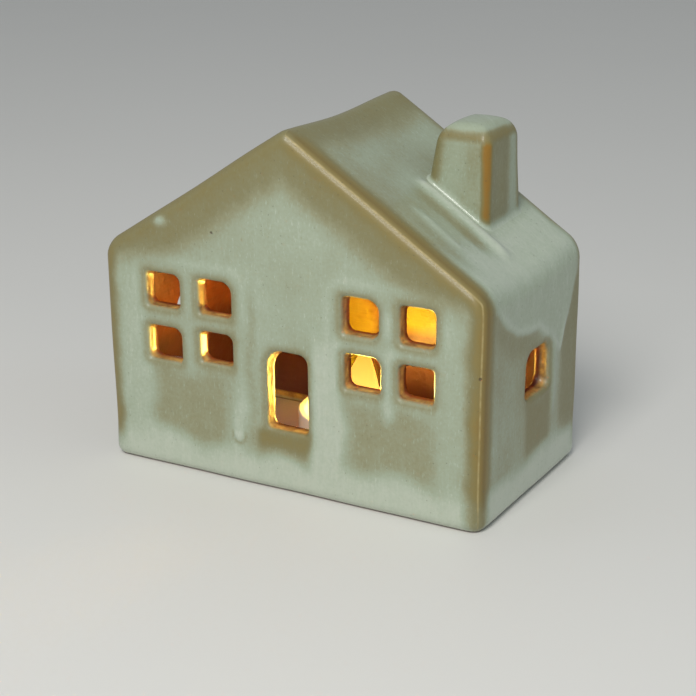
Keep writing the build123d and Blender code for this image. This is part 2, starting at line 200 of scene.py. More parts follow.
both_faces = [np.array(0.0), np.array(0.0)]
print("a sharp corner lies outside its arris of 2 mm by:", round(float(rounded_meet(both_faces, 2.0)), 2))

# %% [markdown]
# ## The house body
#
# A block with a gabled section, hollowed from below. Its size comes from the CAD node's box. The planes
# of the walls wander by a fifth of a millimetre and the ridge sags a little in the middle, as in a
# hand-fettled casting, and the left wall leans out a little towards its eave. We keep the distance to
# each face as well, because the glaze needs it later.

# %% House body field
house_low, house_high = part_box("house_shell")
half_width = (house_high.x - house_low.x) / 2 / MM
half_depth = (house_high.y - house_low.y) / 2 / MM
eave_height = 68.0
ridge_height = 108.6
ridge_sag = 1.4
wall = 5.0
arris_round = 3.9
ridge_round = 2.2
foot_arris_round = 3.2
hollow_round = 3.0
foot_round = 1.0
unevenness = 0.20
left_bulge = 0.8
roof_slope = math.atan2(ridge_height - eave_height, half_width)


def ridge_line(y):
    """Height of the sharp ridge: it dips by the sag in the middle, as a squared cosine."""
    return ridge_height - ridge_sag * np.cos(math.pi * y / (2 * half_depth)) ** 2


def house_faces(x, y, z):
    """Distances to the outer faces by name, each negative inside the clay."""
    rise = (z - ridge_line(y)) * math.cos(roof_slope)
    run = x * math.sin(roof_slope)
    return {
        "front": -y - half_depth + unevenness * wander(x, z, 60, 0.3),
        "back": y - half_depth + unevenness * wander(x, z, 55, 1.9),
        "right": x - half_width + unevenness * wander(y, z, 50, 4.2),
        "left": -x - half_width + unevenness * wander(y, z, 50, 5.5) - left_bulge * ramp(0, 62, z),
        "right_roof": rise + run + unevenness * wander(x, y, 48, 2.6),
        "left_roof": rise - run + unevenness * wander(x, y, 52, 3.7),
    }


def house_block(x, y, z):
    """The house before it is hollowed: walls, foot and both slopes meeting with round arrises."""
    faces = house_faces(x, y, z)
    slopes = rounded_meet([faces["right_roof"], faces["left_roof"]], ridge_round)
    walls = [faces["front"], faces["back"], faces["right"], faces["left"]]
    block = rounded_meet([slopes, *walls], arris_round)
    return rounded_meet([block, -z], foot_arris_round)


def house_hollow(x, y, z):
    """The hollow, open at the foot: the same faces moved in by the wall."""
    rise = (z - ridge_line(y)) * math.cos(roof_slope) + wall
    run = x * math.sin(roof_slope)
    inner = [np.abs(x) - half_width + wall, np.abs(y) - half_depth + wall, rise + run, rise - run]
    return rounded_meet(inner, hollow_round)


print("roof slope in degrees:", round(math.degrees(roof_slope), 1))

# %% [markdown]
# ## Panes, door and side windows
#
# The openings were cut by hand in leather-hard clay, so no two are alike: each has its own place, size and
# corner radii. They also close up a little and grow rounder towards the inside, where the knife left
# slip. All this is a list of plain measures and one function.

# %% Openings
# Each pane: middle x, middle z, width, height, then corner radii top right, top left, low right, low left
panes = {
    "left_upper_outer": (-41.9, 55.8, 12.0, 10.8, 2.4, 1.1, 1.9, 1.1),
    "left_upper_inner": (-23.9, 56.0, 11.4, 11.0, 3.2, 1.2, 1.6, 1.1),
    "left_lower_outer": (-41.7, 39.3, 11.8, 10.8, 2.6, 1.1, 1.2, 1.1),
    "left_lower_inner": (-23.7, 40.6, 11.4, 9.8, 2.2, 1.3, 1.1, 1.1),
    "right_upper_inner": (24.4, 57.9, 11.8, 11.4, 3.4, 1.1, 2.6, 1.2),
    "right_upper_outer": (42.2, 57.8, 11.2, 11.6, 1.8, 1.2, 1.8, 1.6),
    "right_lower_inner": (24.9, 41.4, 11.8, 11.0, 2.6, 1.2, 1.1, 1.1),
    "right_lower_outer": (42.0, 41.3, 11.2, 10.6, 1.2, 1.8, 1.0, 1.4),
}
door = (0.4, 31.4, 13.8, 24.4, 2.8, 5.0, 1.1, 1.1)
side_window = (2.8, 37.2, 16.2, 14.4, 3.8, 4.2, 2.2, 2.2)
closing_in = 0.05
inner_bead = 0.35
inner_roundness = 0.24
lip_round = 1.0
vent_place = (38.1, 11.1)
vent_radius = 2.5


def cut_outline(u, v, opening, depth):
    """Distance to a hand-cut opening at some depth in the wall.

    A rounded rectangle whose radius changes from corner to corner by soft halves of u and v, smaller and
    rounder with depth."""
    middle_u, middle_v, width, height, top_right, top_left, low_right, low_left = opening
    u = u - middle_u
    v = v - middle_v
    to_right = ramp(-width / 4, width / 4, u)
    to_top = ramp(-height / 4, height / 4, v)
    top = top_left + (top_right - top_left) * to_right
    low = low_left + (low_right - low_left) * to_right
    inward = np.clip(depth, 0, wall)
    radius = low + (top - low) * to_top + inner_roundness * inward
    radius = np.minimum(radius, min(width, height) / 2 - 1)
    shrink = closing_in * inward + inner_bead * bump(inward, wall - 1.0, 1.0)
    return rounded_plate(u, v, width / 2 - shrink, height / 2 - shrink, radius)


def front_cut(x, z, depth):
    """Nearest of the eight panes and the door."""
    return np.minimum.reduce([cut_outline(x, z, opening, depth) for opening in (*panes.values(), door)])


def house_cuts(x, y, z):
    """All the openings through the walls, each reaching just past the inner face, and the roof vent."""
    end = wall + hollow_round
    depth = y + half_depth
    through_front = np.maximum(front_cut(x, z, depth), depth - end)
    side_depth = half_width - np.abs(x)
    through_sides = np.maximum(cut_outline(y, z, side_window, side_depth), side_depth - end)
    from_vent = np.hypot(x - vent_place[0], y - vent_place[1]) - vent_radius
    through_roof = np.maximum(from_vent, eave_height - z)
    return np.minimum.reduce([through_front, through_sides, through_roof])


print(len(panes), "panes, a door, two side windows and a vent")

# %% [markdown]
# ## How thick the glaze lies
#
# One number says almost everything about this finish: the glaze's thickness, from 0 (run thin, gold) over
# 0.35 (drained, olive) and 0.6 (even, grey-green) to 1 (pooled, pale and milky). We build it face by face
# from soft bands and bells, so that it can drive both the colour and a slight relief.
# On the front the glaze ran down in pale columns between the windows, framed each window group, left
# olive fields below them and gathered in a pale rim round the foot.

# %% Glaze on the front
window_groups = ((-33.0, 47.6), (33.1, 49.9))
group_half_width = 18.6
group_half_height = 17.6
group_round = 5.0
halo_gap = 0.4
halo_width = 1.6


def toward(coat, target, share):
    """Thickness moved towards a target by a share from 0 to 1."""
    return coat + (target - coat) * share


def layered(coat, fields):
    """Thickness moved towards one field's target after another: fields are (target, share) rows."""
    for target, share in fields:
        coat = toward(coat, target, share)
    return coat


def from_group(x, z, middle):
    """Distance to the rounded outline on which the glaze beaded round a group of four panes."""
    return rounded_plate(x - middle[0], z - middle[1], group_half_width, group_half_height, group_round)


def front_glaze(x, z):
    """Thickness on the front wall: an even coat that moves towards other values field by field."""
    u = x + 0.8 * wander(x, z, 17, 1.3)
    v = z + 1.5 * wander(x, z, 26, 0.8)
    return layered(0.67 + 0.06 * wander(x, z, 34, 2.2), [
        # olive below the left windows, and the columns between them and the door
        (0.46, band(u, -45.5, -20.5, 3.2) * band(v, 7, 34, 4.5)),
        (0.52, band(u, -21, -10, 2.0) * band(v, 8, 62, 7)),
        (0.66, bump(u, -14.5, 2.2) * band(v, 12, 58, 8)),
        (0.84, bump(u, -16.0, 2.6) * band(v, 10, 30, 7)),
        # thin under the door, a pale column beside it, olive below the right windows
        (0.22, band(u, -9.5, 8, 1.8) * band(v, 9, 19.5, 2.2)),
        (0.92, band(u, 9, 18.5, 1.8) * band(v, 5, 50, 7)),
        (0.47, band(u, 20.5, 48, 3.2) * band(v, 10, 34, 4.5)),
        # the outer columns
        (0.66, band(u, 49.5, 58, 1.8) * band(v, 5, 62, 7)),
        (0.76, band(u, -57.5, -47, 1.8) * band(v, 8, 55, 7)),
        # the glazing bars, upright and level
        (0.84, bump(u, 33.2, 2.2) * band(v, 29.5, 60, 2.5)),
        (0.68, bump(u, -32.6, 1.8) * band(v, 34, 60, 3)),
        (0.62, bump(v, 48.0, 1.5) * band(u, -47, -19, 2)),
        (0.66, bump(v, 49.6, 1.5) * band(u, 20, 47, 2)),
        # beads over both window groups, and the rim that pooled at the foot
        *((0.80, 0.75 * bump(from_group(x, z, middle), 0.4, 1.5) * ramp(44, 56, z))
          for middle in window_groups),
        (0.95, ramp(-15.5, -6.5, -v - 4.5 * bump(u, -27, 7))),
    ])


def front_halo(x, z):
    """1 at the lips of the front openings, falling to 0 a few mm away, where the glaze pulled back."""
    return bump(np.maximum(front_cut(x, z, 0.0) - halo_gap, 0), 0, halo_width)


print("coat between window and door:", round(float(front_glaze(np.array(13.0), np.array(30.0))), 2))

# %% [markdown]
# On the right-hand wall a pale mass hangs down from the eave with a scalloped hem. Below the window the
# glaze is dark, and a thin ridge of it runs down beside the window. The left wall and the back, which
# the picture doesn't show, get the same kinds of runs in other places.

# %% Glaze on the side walls and the back
hem_y = (-36, -32, -28, -20, -13, -5, 2, 6, 10, 14, 18, 19.5, 22, 25, 28, 31, 36)
hem_z = (72, 68, 63.5, 57, 53, 51, 50.5, 47.5, 45, 42, 38.5, 41, 46, 49, 57, 62, 66)
drip_y = 14.0


def above_hem(y, z):
    """Distance above the scalloped lower edge of the pale mass: its height there, less the edge's,
    divided by the length of a step of one along the edge."""
    smooth = sum(np.interp(y + shift, hem_y, hem_z) for shift in (-1, 0, 1)) / 3
    slope = (np.interp(y + 2, hem_y, hem_z) - np.interp(y - 2, hem_y, hem_z)) / 4
    return (z - smooth) / np.hypot(1, slope)


def right_glaze(y, z):
    """Thickness on the right wall."""
    v = z + 1.2 * wander(y, z, 19, 5.1)
    from_hem = above_hem(y, z)
    return layered(0.54 + 0.05 * wander(y, z, 28, 3.3), [
        (0.40, ramp(-11, -3, from_hem) * band(y, -28, 2, 4)),
        (0.30, band(y, -5, 12, 2.4) * band(v, 13, 30, 3)),
        (0.34, band(y, 19, 32, 2.5) * band(v, 13, 60, 4)),
        (0.70, bump(y, drip_y, 1.5) * band(v, 22, 44, 3)),
        (0.74, ramp(-1.0, 1.6, from_hem) * ramp(-31, -26, y)),
        (0.86, bump(from_hem, 1.0, 1.3) * band(y, -24, 23, 3)),
        (0.14, ramp(26.0, 31.5, -y) * ramp(6, 14, z)),
        (0.98, ramp(-14.5, -7.5, -v)),
    ])


def left_glaze(y, z):
    """Thickness on the left wall: olive under its window and two pale runs from the eave."""
    v = z + 1.6 * wander(y, z, 23, 6.4)
    return layered(0.54 + 0.05 * wander(y, z, 30, 7.1), [
        (0.82, ramp(54, 59, v + 5 * wander(y, z, 21, 0.4))),
        (0.28, band(y, -5, 11, 2) * band(v, 12, 30, 3)),
        (0.86, bump(y, -15, 4) * band(v, 6, 60, 6)),
        (0.78, bump(y, 20, 3.2) * band(v, 20, 60, 6)),
        (0.94, ramp(-12.5, -8.0, -v)),
    ])


def back_glaze(x, z):
    """Thickness on the back: broad runs of different lengths from the eave to the foot."""
    runs = np.clip(0.5 + 0.5 * wander(x, 0 * z, 38, 1.1), 0, 1)
    ends = 22 + 16 * wander(x, 0 * z, 31, 4.6)
    v = z + 2.0 * wander(x, z, 27, 2.9)
    return layered(0.46 + 0.05 * wander(x, z, 30, 0.7), [
        (0.84, runs * ramp(-3, 4, v - ends)),
        (0.94, ramp(-13.0, -8.0, -v)),
    ])


print("coat under the right window:", round(float(right_glaze(np.array(3.0), np.array(20.0))), 2))

# %% [markdown]
# On the roof the coat is even and milky, whiter towards the eaves, tan along the ridge and the verges.
# In front of the chimney two glaze ridges run down the slope with a shallow trough between them.

# %% Glaze on the roof
slope_length = half_width / math.cos(roof_slope)
ridge_run_y = -2.6
second_run_y = -18.5


def right_roof_glaze(y, up):
    """Thickness on the right slope, by depth y and distance up from the eave."""
    return layered(0.60 + 0.06 * wander(y, up, 24, 2.0), [
        (0.90, ramp(-26, -12, -up)),
        (0.32, ramp(56, 70, up)),
        (0.50, band(y, -27, -21, 3) * band(up, 12, 60, 8)),
        (1.0, bump(y, ridge_run_y, 2.0) * band(up, 10, 43, 3)),
        (0.42, band(y, -11, -6, 1.8) * band(up, 14, 40, 5)),
        (0.82, bump(y, second_run_y, 1.6) * band(up, 18, 34, 4)),
        (0.20, ramp(25.5, 31.0, -y)),
    ])


def left_roof_glaze(y, up):
    """Thickness on the left slope: milky, with a thin tan field near the front verge."""
    return layered(0.62 + 0.07 * wander(y, up, 27, 5.8), [
        (0.90, ramp(-24, -10, -up)),
        (0.36, ramp(59, 68, up)),
        (0.88, bump(y, 9 + 2 * wander(up, 0 * up, 30, 1.0), 2.2) * band(up, 8, 50, 6)),
        (0.24, ramp(22, 30, -y)),
    ])


print("slope length in mm:", round(slope_length, 1))

# %% [markdown]
# Wherever two faces are near, that is an arris, and there the glaze pulls thin: each pair has the
# thickness that is left, how surely it is reached, and how surely at the foot, where glaze pooled. Over
# the right eave it flowed so thickly that nothing shows. The front also has a few small marks of its own.

# %% Glaze where faces meet
# Place of a pale spot painted as a highlight near the left verge
painted_highlight_spot = (-42.1, 77.4)
drip_mark = (-16.0, 16.0)
drip_half_width = 1.5
drip_half_height = 2.2
sill_bead = (8.6, 30.6)
nearness_reach = 0.8
# For two faces: the thickness left on their arris, its share, and its share at the foot
thin_arrises = {
    ("front", "right"): (0.09, 1.0, 0.75),
    # On the front-left arris the thin glaze is set thinner still, as painted shade where that edge turns
    # from the light
    ("front", "left"): (0.12, 1.0, 0.2),
    ("front", "right_roof"): (0.14, 1.0, 0),
    ("front", "left_roof"): (0.22, 0.9, 0),
    ("right_roof", "left_roof"): (0.32, 0.7, 0),
    ("left", "left_roof"): (0.34, 0.5, 0),
    ("right", "back"): (0.22, 0.8, 0.1),
    ("left", "back"): (0.20, 0.8, 0.1),
    ("right_roof", "back"): (0.24, 0.9, 0),
    ("left_roof", "back"): (0.24, 0.9, 0),
}


def up_the_slope(x):
    """Distance up a slope from its eave, from the distance to the ridge's upright plane."""
    return slope_length - np.abs(x) / math.cos(roof_slope)


def arris_fields(x, y, z, faces):
    """Fields that thin the glaze along every arris, fading over the distance from both its faces."""
    wavering = 0.5 * wander(x + y, z, 14, 1.0)
    for (first, second), (left_there, share, share_at_foot) in thin_arrises.items():
        apart = np.abs(faces[first]) + np.abs(faces[second]) + wavering
        share = share_at_foot + (share - share_at_foot) * ramp(1, 13, z)
        yield left_there, share * (1 - ramp(1.4, 7.4, apart))


def drip_distance(x, z):
    """Distance from the drip mark in half widths and half heights of its oval."""
    return np.hypot((x - drip_mark[0]) / drip_half_width, (z - drip_mark[1]) / drip_half_height)


def front_marks(x, z, near):
    """Fields of the front's small marks: the openings' halos, a pale spot painted as a highlight, and a
    drip's end.
    """
    from_spot = np.hypot((x - painted_highlight_spot[0]) / 1.5, z - painted_highlight_spot[1])
    from_drip = drip_distance(x, z)
    below_drip = ramp(-1.5, 0.5, drip_mark[1] - z)
    return [
        (0.30, 0.80 * near * front_halo(x, z)),
        # painted highlight: a pale spot near the left verge
        (0.95, 0.8 * near * bump(from_spot, 0, 1.6)),
        (0.36, 0.8 * near * bump(from_drip, 1.5, 0.35) * below_drip),
        (0.92, 0.8 * near * bump(from_drip, 0.7, 0.4) * below_drip),
    ]


print(len(thin_arrises), "arrises where the glaze runs thin")

# %% [markdown]
# One function now blends the faces: each counts where it is nearest to the surface. Where a run was
# thickest it stands out as a bead that catches the light, so the beads get a height of their own. With
# them the field of the whole casting is complete.

# %% Glaze all over
bead_reach = 1.5
relief_per_coat = 0.34
level_coat = 0.6
relief_reach = 2.5


def glaze_coat(x, y, z):
    """Thickness anywhere on the outside: the faces' coats weighted by nearness, thinned at arrises."""
    faces = house_faces(x, y, z)
    up = up_the_slope(x)
    coats = {
        "front": front_glaze(x, z),
        "back": back_glaze(x, z),
        "right": right_glaze(y, z),
        "left": left_glaze(y, z),
        "right_roof": right_roof_glaze(y, up),
        "left_roof": left_roof_glaze(y, up),
    }
    nearness = {name: np.exp(np.minimum(faces[name], 0) / nearness_reach) for name in coats}
    coat = sum(nearness[name] * coats[name] for name in coats) / sum(nearness.values())
    verge = -np.maximum(faces["right_roof"], faces["left_roof"])
    on_gable = np.maximum(nearness["front"], nearness["back"]) * ramp(58, 72, z)
    coat = toward(coat, 0.27, on_gable * ramp(-19, -8, -verge))
    coat = layered(coat, arris_fields(x, y, z, faces))
    coat = layered(coat, front_marks(x, z, nearness["front"]))
    side_lip = np.maximum(cut_outline(y, z, side_window, 0.0) - halo_gap, 0)
    on_side = np.maximum(nearness["right"], nearness["left"])
    return np.clip(toward(coat, 0.26, 0.8 * on_side * bump(side_lip, 0, halo_width)), 0, 1.1)


def glaze_beads(x, y, z):
    """Height in mm of the beads on the front, under the right eave and on the right slope."""
    faces = house_faces(x, y, z)
    up = up_the_slope(x)
    on_front = faces["front"] > -bead_reach
    front = 0.30 * bump(x, 33.4, 1.5) * band(z, 30, 48, 3)
    front += 0.14 * (bump(x, 9.2, 1.0) + bump(x, 18.6, 1.1)) * band(z, 12, 46, 8)
    front += 0.22 * bump(drip_distance(x, z), 0.8, 0.35) * ramp(-1.5, 0.5, drip_mark[1] - z)
    front += 0.22 * bump(np.hypot(x - painted_highlight_spot[0], z - painted_highlight_spot[1]), 0, 1.0)
    on_right = (faces["right"] > -bead_reach) & (z < eave_height)
    right = 0.30 * bump(above_hem(y, z), 0.8, 1.2) * band(y, -23, 22, 3)
    right += 0.26 * bump(y, drip_y + 0.04 * (z - 30), 1.1) * band(z, 21, 43, 3)
    right += 0.70 * bump(np.hypot((y - sill_bead[0]) / 1.6, z - sill_bead[1]), 0, 1.7)
    on_slope = (faces["right_roof"] > -bead_reach) & (x > 0)
    slope = 0.95 * bump(y, ridge_run_y, 1.9) * band(up, 10, 42, 2.5)
    slope += 0.34 * bump(y, second_run_y, 1.4) * band(up, 19, 33, 3)
    slope -= 0.10 * bump(y, -8.4, 2.4) * band(up, 15, 38, 4)
    return on_front * front + on_right * right + on_slope * slope


def glaze_relief(x, y, z):
    """Height of the glaze in mm: proud where it pooled, sunk where it is thin, and its beads."""
    return relief_per_coat * (glaze_coat(x, y, z) - level_coat) + glaze_beads(x, y, z)


def house_shell_field(x, y, z):
    """The whole casting: block with glaze, less the hollow, less the openings with rounded lips."""
    outside = house_block(x, y, z)
    near = np.abs(outside) < relief_reach
    relief = np.zeros_like(outside)
    relief[near] = glaze_relief(x[near], y[near], z[near])
    shell = rounded_meet([outside - relief, -house_hollow(x, y, z)], foot_round)
    return rounded_meet([shell, -house_cuts(x, y, z)], lip_round)


wall_middle = np.array([[0.0], [wall / 2 - half_depth], [10.0]])
print("field in the middle of the front wall:", round(float(house_shell_field(*wall_middle)[0]), 2))

# %% [markdown]
# ## A skin from a field
#
# To get a mesh out of a field we lay a grid of cells over it. Every cell that the surface passes through
# gets one point, at the mean of the places where the cell's edges change sign, and every grid edge that
# changes sign gets one face between its four cells. Afterwards a few Newton steps pull the points exactly
# onto the surface. All of it is array work: the only loops run over the twelve edges of a cell.

# %% Skin of a field
cell_corners = np.array([(i, j, k) for i in (0, 1) for j in (0, 1) for k in (0, 1)])
cell_edges = [(a, b) for a in range(8) for b in range(a + 1, 8)
              if np.abs(cell_corners[a] - cell_corners[b]).sum() == 1]


def settle(points, field, rounds=4, probe=0.03, least_steep=0.25, longest_step=0.4):
    """Newton steps onto the zero surface: each point moves against the slope by value over slope."""
    for _ in range(rounds):
        value = field(*points.T)
        slope = np.stack([
            (field(*(points + probe * axis).T) - field(*(points - probe * axis).T)) / (2 * probe)
            for axis in np.eye(3)
        ], axis=1)
        steep = np.maximum((slope ** 2).sum(axis=1), least_steep)
        step = (value / steep)[:, None] * slope
        points = points - np.clip(step, -longest_step, longest_step)
    return points


def skin(field, low, high, cell):
    """Points and quads of the surface where the field is zero, in a box, with cubic cells."""
    ticks = [np.arange(start, end + cell, cell) for start, end in zip(low, high)]
    value = field(*np.meshgrid(*ticks, indexing="ij"))
    counts = np.array(value.shape) - 1
    inside = value < 0
    corner_sets = [inside[i:i + counts[0], j:j + counts[1], k:k + counts[2]] for i, j, k in cell_corners]
    filled = np.add.reduce([corner.astype(np.int8) for corner in corner_sets])
    cells = np.argwhere((filled > 0) & (filled < 8))
    at_corner = [value[tuple((cells + corner).T)] for corner in cell_corners]
    total = np.zeros(cells.shape)
    crossings = np.zeros(len(cells))
    for a, b in cell_edges:
        crossed = (at_corner[a] < 0) != (at_corner[b] < 0)
        drop = np.where(crossed, at_corner[a] - at_corner[b], 1)
        share = np.where(crossed, at_corner[a] / drop, 0)
        place = cell_corners[a] + share[:, None] * (cell_corners[b] - cell_corners[a])
        total += place * crossed[:, None]
        crossings += crossed
    points = np.array(low) + cell * (cells + total / crossings[:, None])
    number = np.full(counts, -1, dtype=np.int64)
    number[tuple(cells.T)] = np.arange(len(cells))
    quads = []
    for axis in range(3):
        ahead = np.eye(3, dtype=int)[axis]
        u, v = np.eye(3, dtype=int)[(axis + 1) % 3], np.eye(3, dtype=int)[(axis + 2) % 3]
        first = inside[tuple(slice(0, size - step) for size, step in zip(inside.shape, ahead))]
        second = inside[tuple(slice(step, None) for step in ahead)]
        for flips, order in ((first & ~second, (0, 1, 2, 3)), (~first & second, (3, 2, 1, 0))):
            edges = np.argwhere(flips)
            around = [edges - u - v, edges - v, edges, edges - u]
            quad = np.stack([number[tuple(ring.T)] for ring in around], axis=1)
            quads.append(quad[:, order])
    return points, np.concatenate(quads)


ball_points, ball_quads = skin(lambda x, y, z: np.hypot(np.hypot(x, y), z) - 5, (-6, -6, -6), (6, 6, 6), 1)
print("a ball of 5 mm in cells of 1 mm:", len(ball_points), "points,", len(ball_quads), "faces")

# %% [markdown]
# ## Making the house
#
# The grid cell is a compromise: fine enough for the lips of the panes, coarse enough for a mesh under
# two hundred thousand triangles. The hollow's plain walls don't need that many, so a Decimate modifier,
# held to a vertex group, thins them out, and the result is baked into a plain mesh.

# %% House shell
house_cell = 0.85
margin = 2.0
plain_depth = 3.6
plain_share = 0.62


def thin_out(mesh, keep_share, weights):
    """Copy of a mesh with the weighted points collapsed to a share of their faces."""
    helper = bpy.data.objects.new("thinning", mesh)
    bpy.context.scene.collection.objects.link(helper)
    group = helper.vertex_groups.new(name="plain")
    group.add(np.flatnonzero(weights).tolist(), 1.0, "REPLACE")
    modifier = helper.modifiers.new("Thin out", "DECIMATE")
    modifier.ratio = keep_share
    modifier.vertex_group = group.name
    modifier.vertex_group_factor = 10.0
    graph = bpy.context.evaluated_depsgraph_get()
    result = bpy.data.meshes.new_from_object(helper.evaluated_get(graph))
    bpy.data.objects.remove(helper)
    result.shade_smooth()
    return result


house_points, house_quads = skin(
    house_shell_field,
    (-half_width - margin, -half_depth - margin, -margin),
    (half_width + margin, half_depth + margin, ridge_height + margin),
    house_cell,
)
house_points = settle(house_points, house_shell_field)
dense_house = bare_mesh("dense_house", house_points, house_quads)
deep_inside = house_block(*house_points.T) < -plain_depth
house_mesh = thin_out(dense_house, plain_share, deep_inside)
stoneware_house = make_piece("stoneware_house", house_mesh, "house", "house_shell")
print("triangles:", sum(len(face.vertices) - 2 for face in house_mesh.polygons))

# %% [markdown]
# ## The chimney
#
# The chimney is a separate little tower, luted to the roof with slip, so a soft collar of glaze runs out
# from its foot. In fields that collar is one line: the tower joined softly to a slab that follows the
# roof's own face, kept a hair below it so that its rim disappears. The tower is closed on top and hollow.

# %% Chimney field
chimney_low, chimney_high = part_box("chimney")
chimney_right = chimney_high.x / MM
chimney_front = chimney_low.y / MM
chimney_top = chimney_high.z / MM
chimney_foot = (22.9, 24.4)
chimney_head = (16.4, 20.6)
chimney_arris_round = 2.8
chimney_head_round = 5.0
chimney_crown = 1.6
chimney_wall = 4.0
collar_reach = 2.8
collar_width = 4.0
collar_sink = 0.12
seat_depth = 1.2
unevenness_across = 0.12
unevenness_along = 0.15


def tower_plan(x, y, z):
    """Places across the tapering plan from -1 to 1, and its half sides at the same height.

    The right and front faces are upright, so only the left and back faces move with height."""
    share = (z - eave_height) / (chimney_top - eave_height)
    half_x = (chimney_foot[0] + (chimney_head[0] - chimney_foot[0]) * share) / 2
    half_y = (chimney_foot[1] + (chimney_head[1] - chimney_foot[1]) * share) / 2
    return (x - chimney_right) / half_x + 1, (y - chimney_front) / half_y - 1, half_x, half_y


def tower(x, y, z, inset):
    """Tapered block with a crowned top and round arrises, moved in by the inset all round."""
    u, v, half_x, half_y = tower_plan(x, y, z)
    top = chimney_top - inset - chimney_crown * (u ** 2 + v ** 2) / 2
    across = (np.abs(u) - 1) * half_x + inset + unevenness_across * wander(y, z, 22, 2.8)
    along = (np.abs(v) - 1) * half_y + inset + unevenness_along * wander(x, z, 25, 1.6)
    upright = rounded_meet([across, along], chimney_arris_round)
    return rounded_meet([upright, z - top], chimney_head_round)


def chimney_coat(x, y, z):
    """Thickness of the glaze: even in front, lowered on the right as painted shade, gone on one arris,
    pooled on top.
    """
    u, v, half_x, half_y = tower_plan(x, y, z)
    from_right, from_left = (1 - u) * half_x, (1 + u) * half_x
    from_front, from_back = (1 + v) * half_y, (1 - v) * half_y
    on_right = ramp(-1.5, 1.5, from_front - from_right)
    wavering = 0.3 * wander(x + y, z, 17, 2.0)
    outward = ramp(0.50, 0.85, np.maximum(np.abs(u), np.abs(v)))
    above_roof = np.maximum(house_faces(x, y, z)["right_roof"], 0)
    return np.clip(layered(0.54 + 0.07 * wander(x + y, z, 13, 0.4), [
        # the front, then the right side, darkened with painted shade, with its paler back half
        (0.64, bump(from_left, 7.5, 3.5) * ramp(-1, 2, from_right - from_front)),
        (0.36, on_right),
        (0.66, on_right * band(from_front, 14, 20, 2.5)),
        # upright arrises: bare between front and right, thin elsewhere
        (0.0, 1 - ramp(1.6, 2.9, from_front + from_right + 0.5 * wavering)),
        (0.26, 0.9 * (1 - ramp(1.8, 4.8, from_front + from_left + wavering))),
        (0.26, 0.8 * (1 - ramp(1.8, 4.8, from_back + np.minimum(from_left, from_right)))),
        # thin rim, pooled top, bead round the foot
        (0.22, 0.9 * band(z, chimney_top - 4.8, chimney_top - 2.4, 1.0) * outward),
        (0.68, ramp(chimney_top - 2.4, chimney_top - 1.2, z)),
        (0.88, bump(above_roof, 0, 1.3)),
    ]), 0, 1.1)


def chimney_field(x, y, z):
    """Tower with its collar, cut to a thin seat in the roof, hollow down to the vent."""
    roof = house_faces(x, y, z)["right_roof"]
    body = tower(x, y, z, 0)
    solid = soft_join(body, roof + collar_sink, collar_reach)
    solid = np.maximum.reduce([solid, body - collar_width, -roof - seat_depth])
    flue = np.maximum(tower(x, y, z, chimney_wall), -roof - seat_depth - 1)
    return np.maximum(solid, -flue)


chimney_cell = 0.55
reach = collar_width + margin
chimney_points, chimney_quads = skin(
    chimney_field,
    (chimney_right - chimney_foot[0] - reach, chimney_front - reach, eave_height - 2 * margin),
    (chimney_right + reach, chimney_front + chimney_foot[1] + reach, chimney_top + margin),
    chimney_cell,
)
chimney_points = settle(chimney_points, chimney_field)
chimney_mesh = bare_mesh("stoneware_chimney", chimney_points, chimney_quads)
stoneware_chimney = make_piece("stoneware_chimney", chimney_mesh, "house", "chimney")

# %% [markdown]
# ## Numbers for the glaze
#
# Every point of the casting now gets its numbers: how thick the glaze lies, how far the point is inside
# the hollow, how close it is to the dry foot, how deep it is in an opening, and which side of the main
# arris it is on. The glaze material turns them into colours.

# %% Store the glaze on the points
foot_height = 0.6
reveal_depth = 1.2
glaze_ends = 2.7
bare_from = 3.5
crest_limit = 8.0


def store_glaze(piece, coat):
    """Stores the glaze's numbers for one piece, from its points and their depth in the house.

    The crest is nought on the arris that the front shares with the right wall and slope, rises on the
    front and falls behind it, up to its limit."""
    x, y, z = points_of(piece.data).T
    depth = -house_block(x, y, z)
    store(piece, "coat", coat(x, y, z))
    store(piece, "inside", ramp(glaze_ends, bare_from, depth))
    foot = ramp(-foot_height, -0.3 * foot_height, -z)
    store(piece, "foot", foot)
    store(piece, "reveal", ramp(0.4 * reveal_depth, 1.6 * reveal_depth, depth) * (1 - foot))
    faces = house_faces(x, y, z)
    crest = faces["front"] - np.maximum(faces["right"], faces["right_roof"])
    crest = np.where(faces["front"] > -crest_limit, crest, -crest_limit)
    store(piece, "crest", np.where(x < 0, crest_limit, crest))


store_glaze(stoneware_house, glaze_coat)
store_glaze(stoneware_chimney, chimney_coat)
chimney_count = len(stoneware_chimney.data.vertices)
for number in ("inside", "reveal"):
    store(stoneware_chimney, number, np.zeros(chimney_count))
store(stoneware_chimney, "crest", np.full(chimney_count, half_width))
print("numbers stored:", [layer.name for layer in stoneware_house.data.attributes][-5:])

# %% [markdown]
# Runs of glaze leave fine streaks down the walls and down the slopes. A texture that is to follow them
# needs its own coordinates: the way across the runs and the way along them. On the walls, x plus y goes
# on round every corner without a jump, and on the slopes depth goes on from there.

# %% Directions of the runs
def store_runs(piece, has_slopes):
    """Stores across and along, in mm: on walls x plus y and height, on slopes depth and way up."""
    x, y, z = points_of(piece.data).T
    faces = house_faces(x, y, z)
    slope = np.maximum(faces["right_roof"], faces["left_roof"])
    upright = np.maximum.reduce([faces["front"], faces["back"], faces["right"], faces["left"]])
    on_slope = has_slopes & (slope > upright)
    up = up_the_slope(x)
    store(piece, "across", np.where(on_slope, np.sign(x) * half_width + y, x + y))
    store(piece, "along", np.where(on_slope, eave_height + up, z))


store_runs(stoneware_house, True)
store_runs(stoneware_chimney, False)
print("directions stored on both castings")

# %% [markdown]
# ## Building materials from nodes
#
# A few small helpers keep the node trees readable: one adds a node and sets its plain values, one links
# a value or sets it. Colours are written as the eye sees them, from 0 to 255, and turned into the linear
# light that Blender computes with.

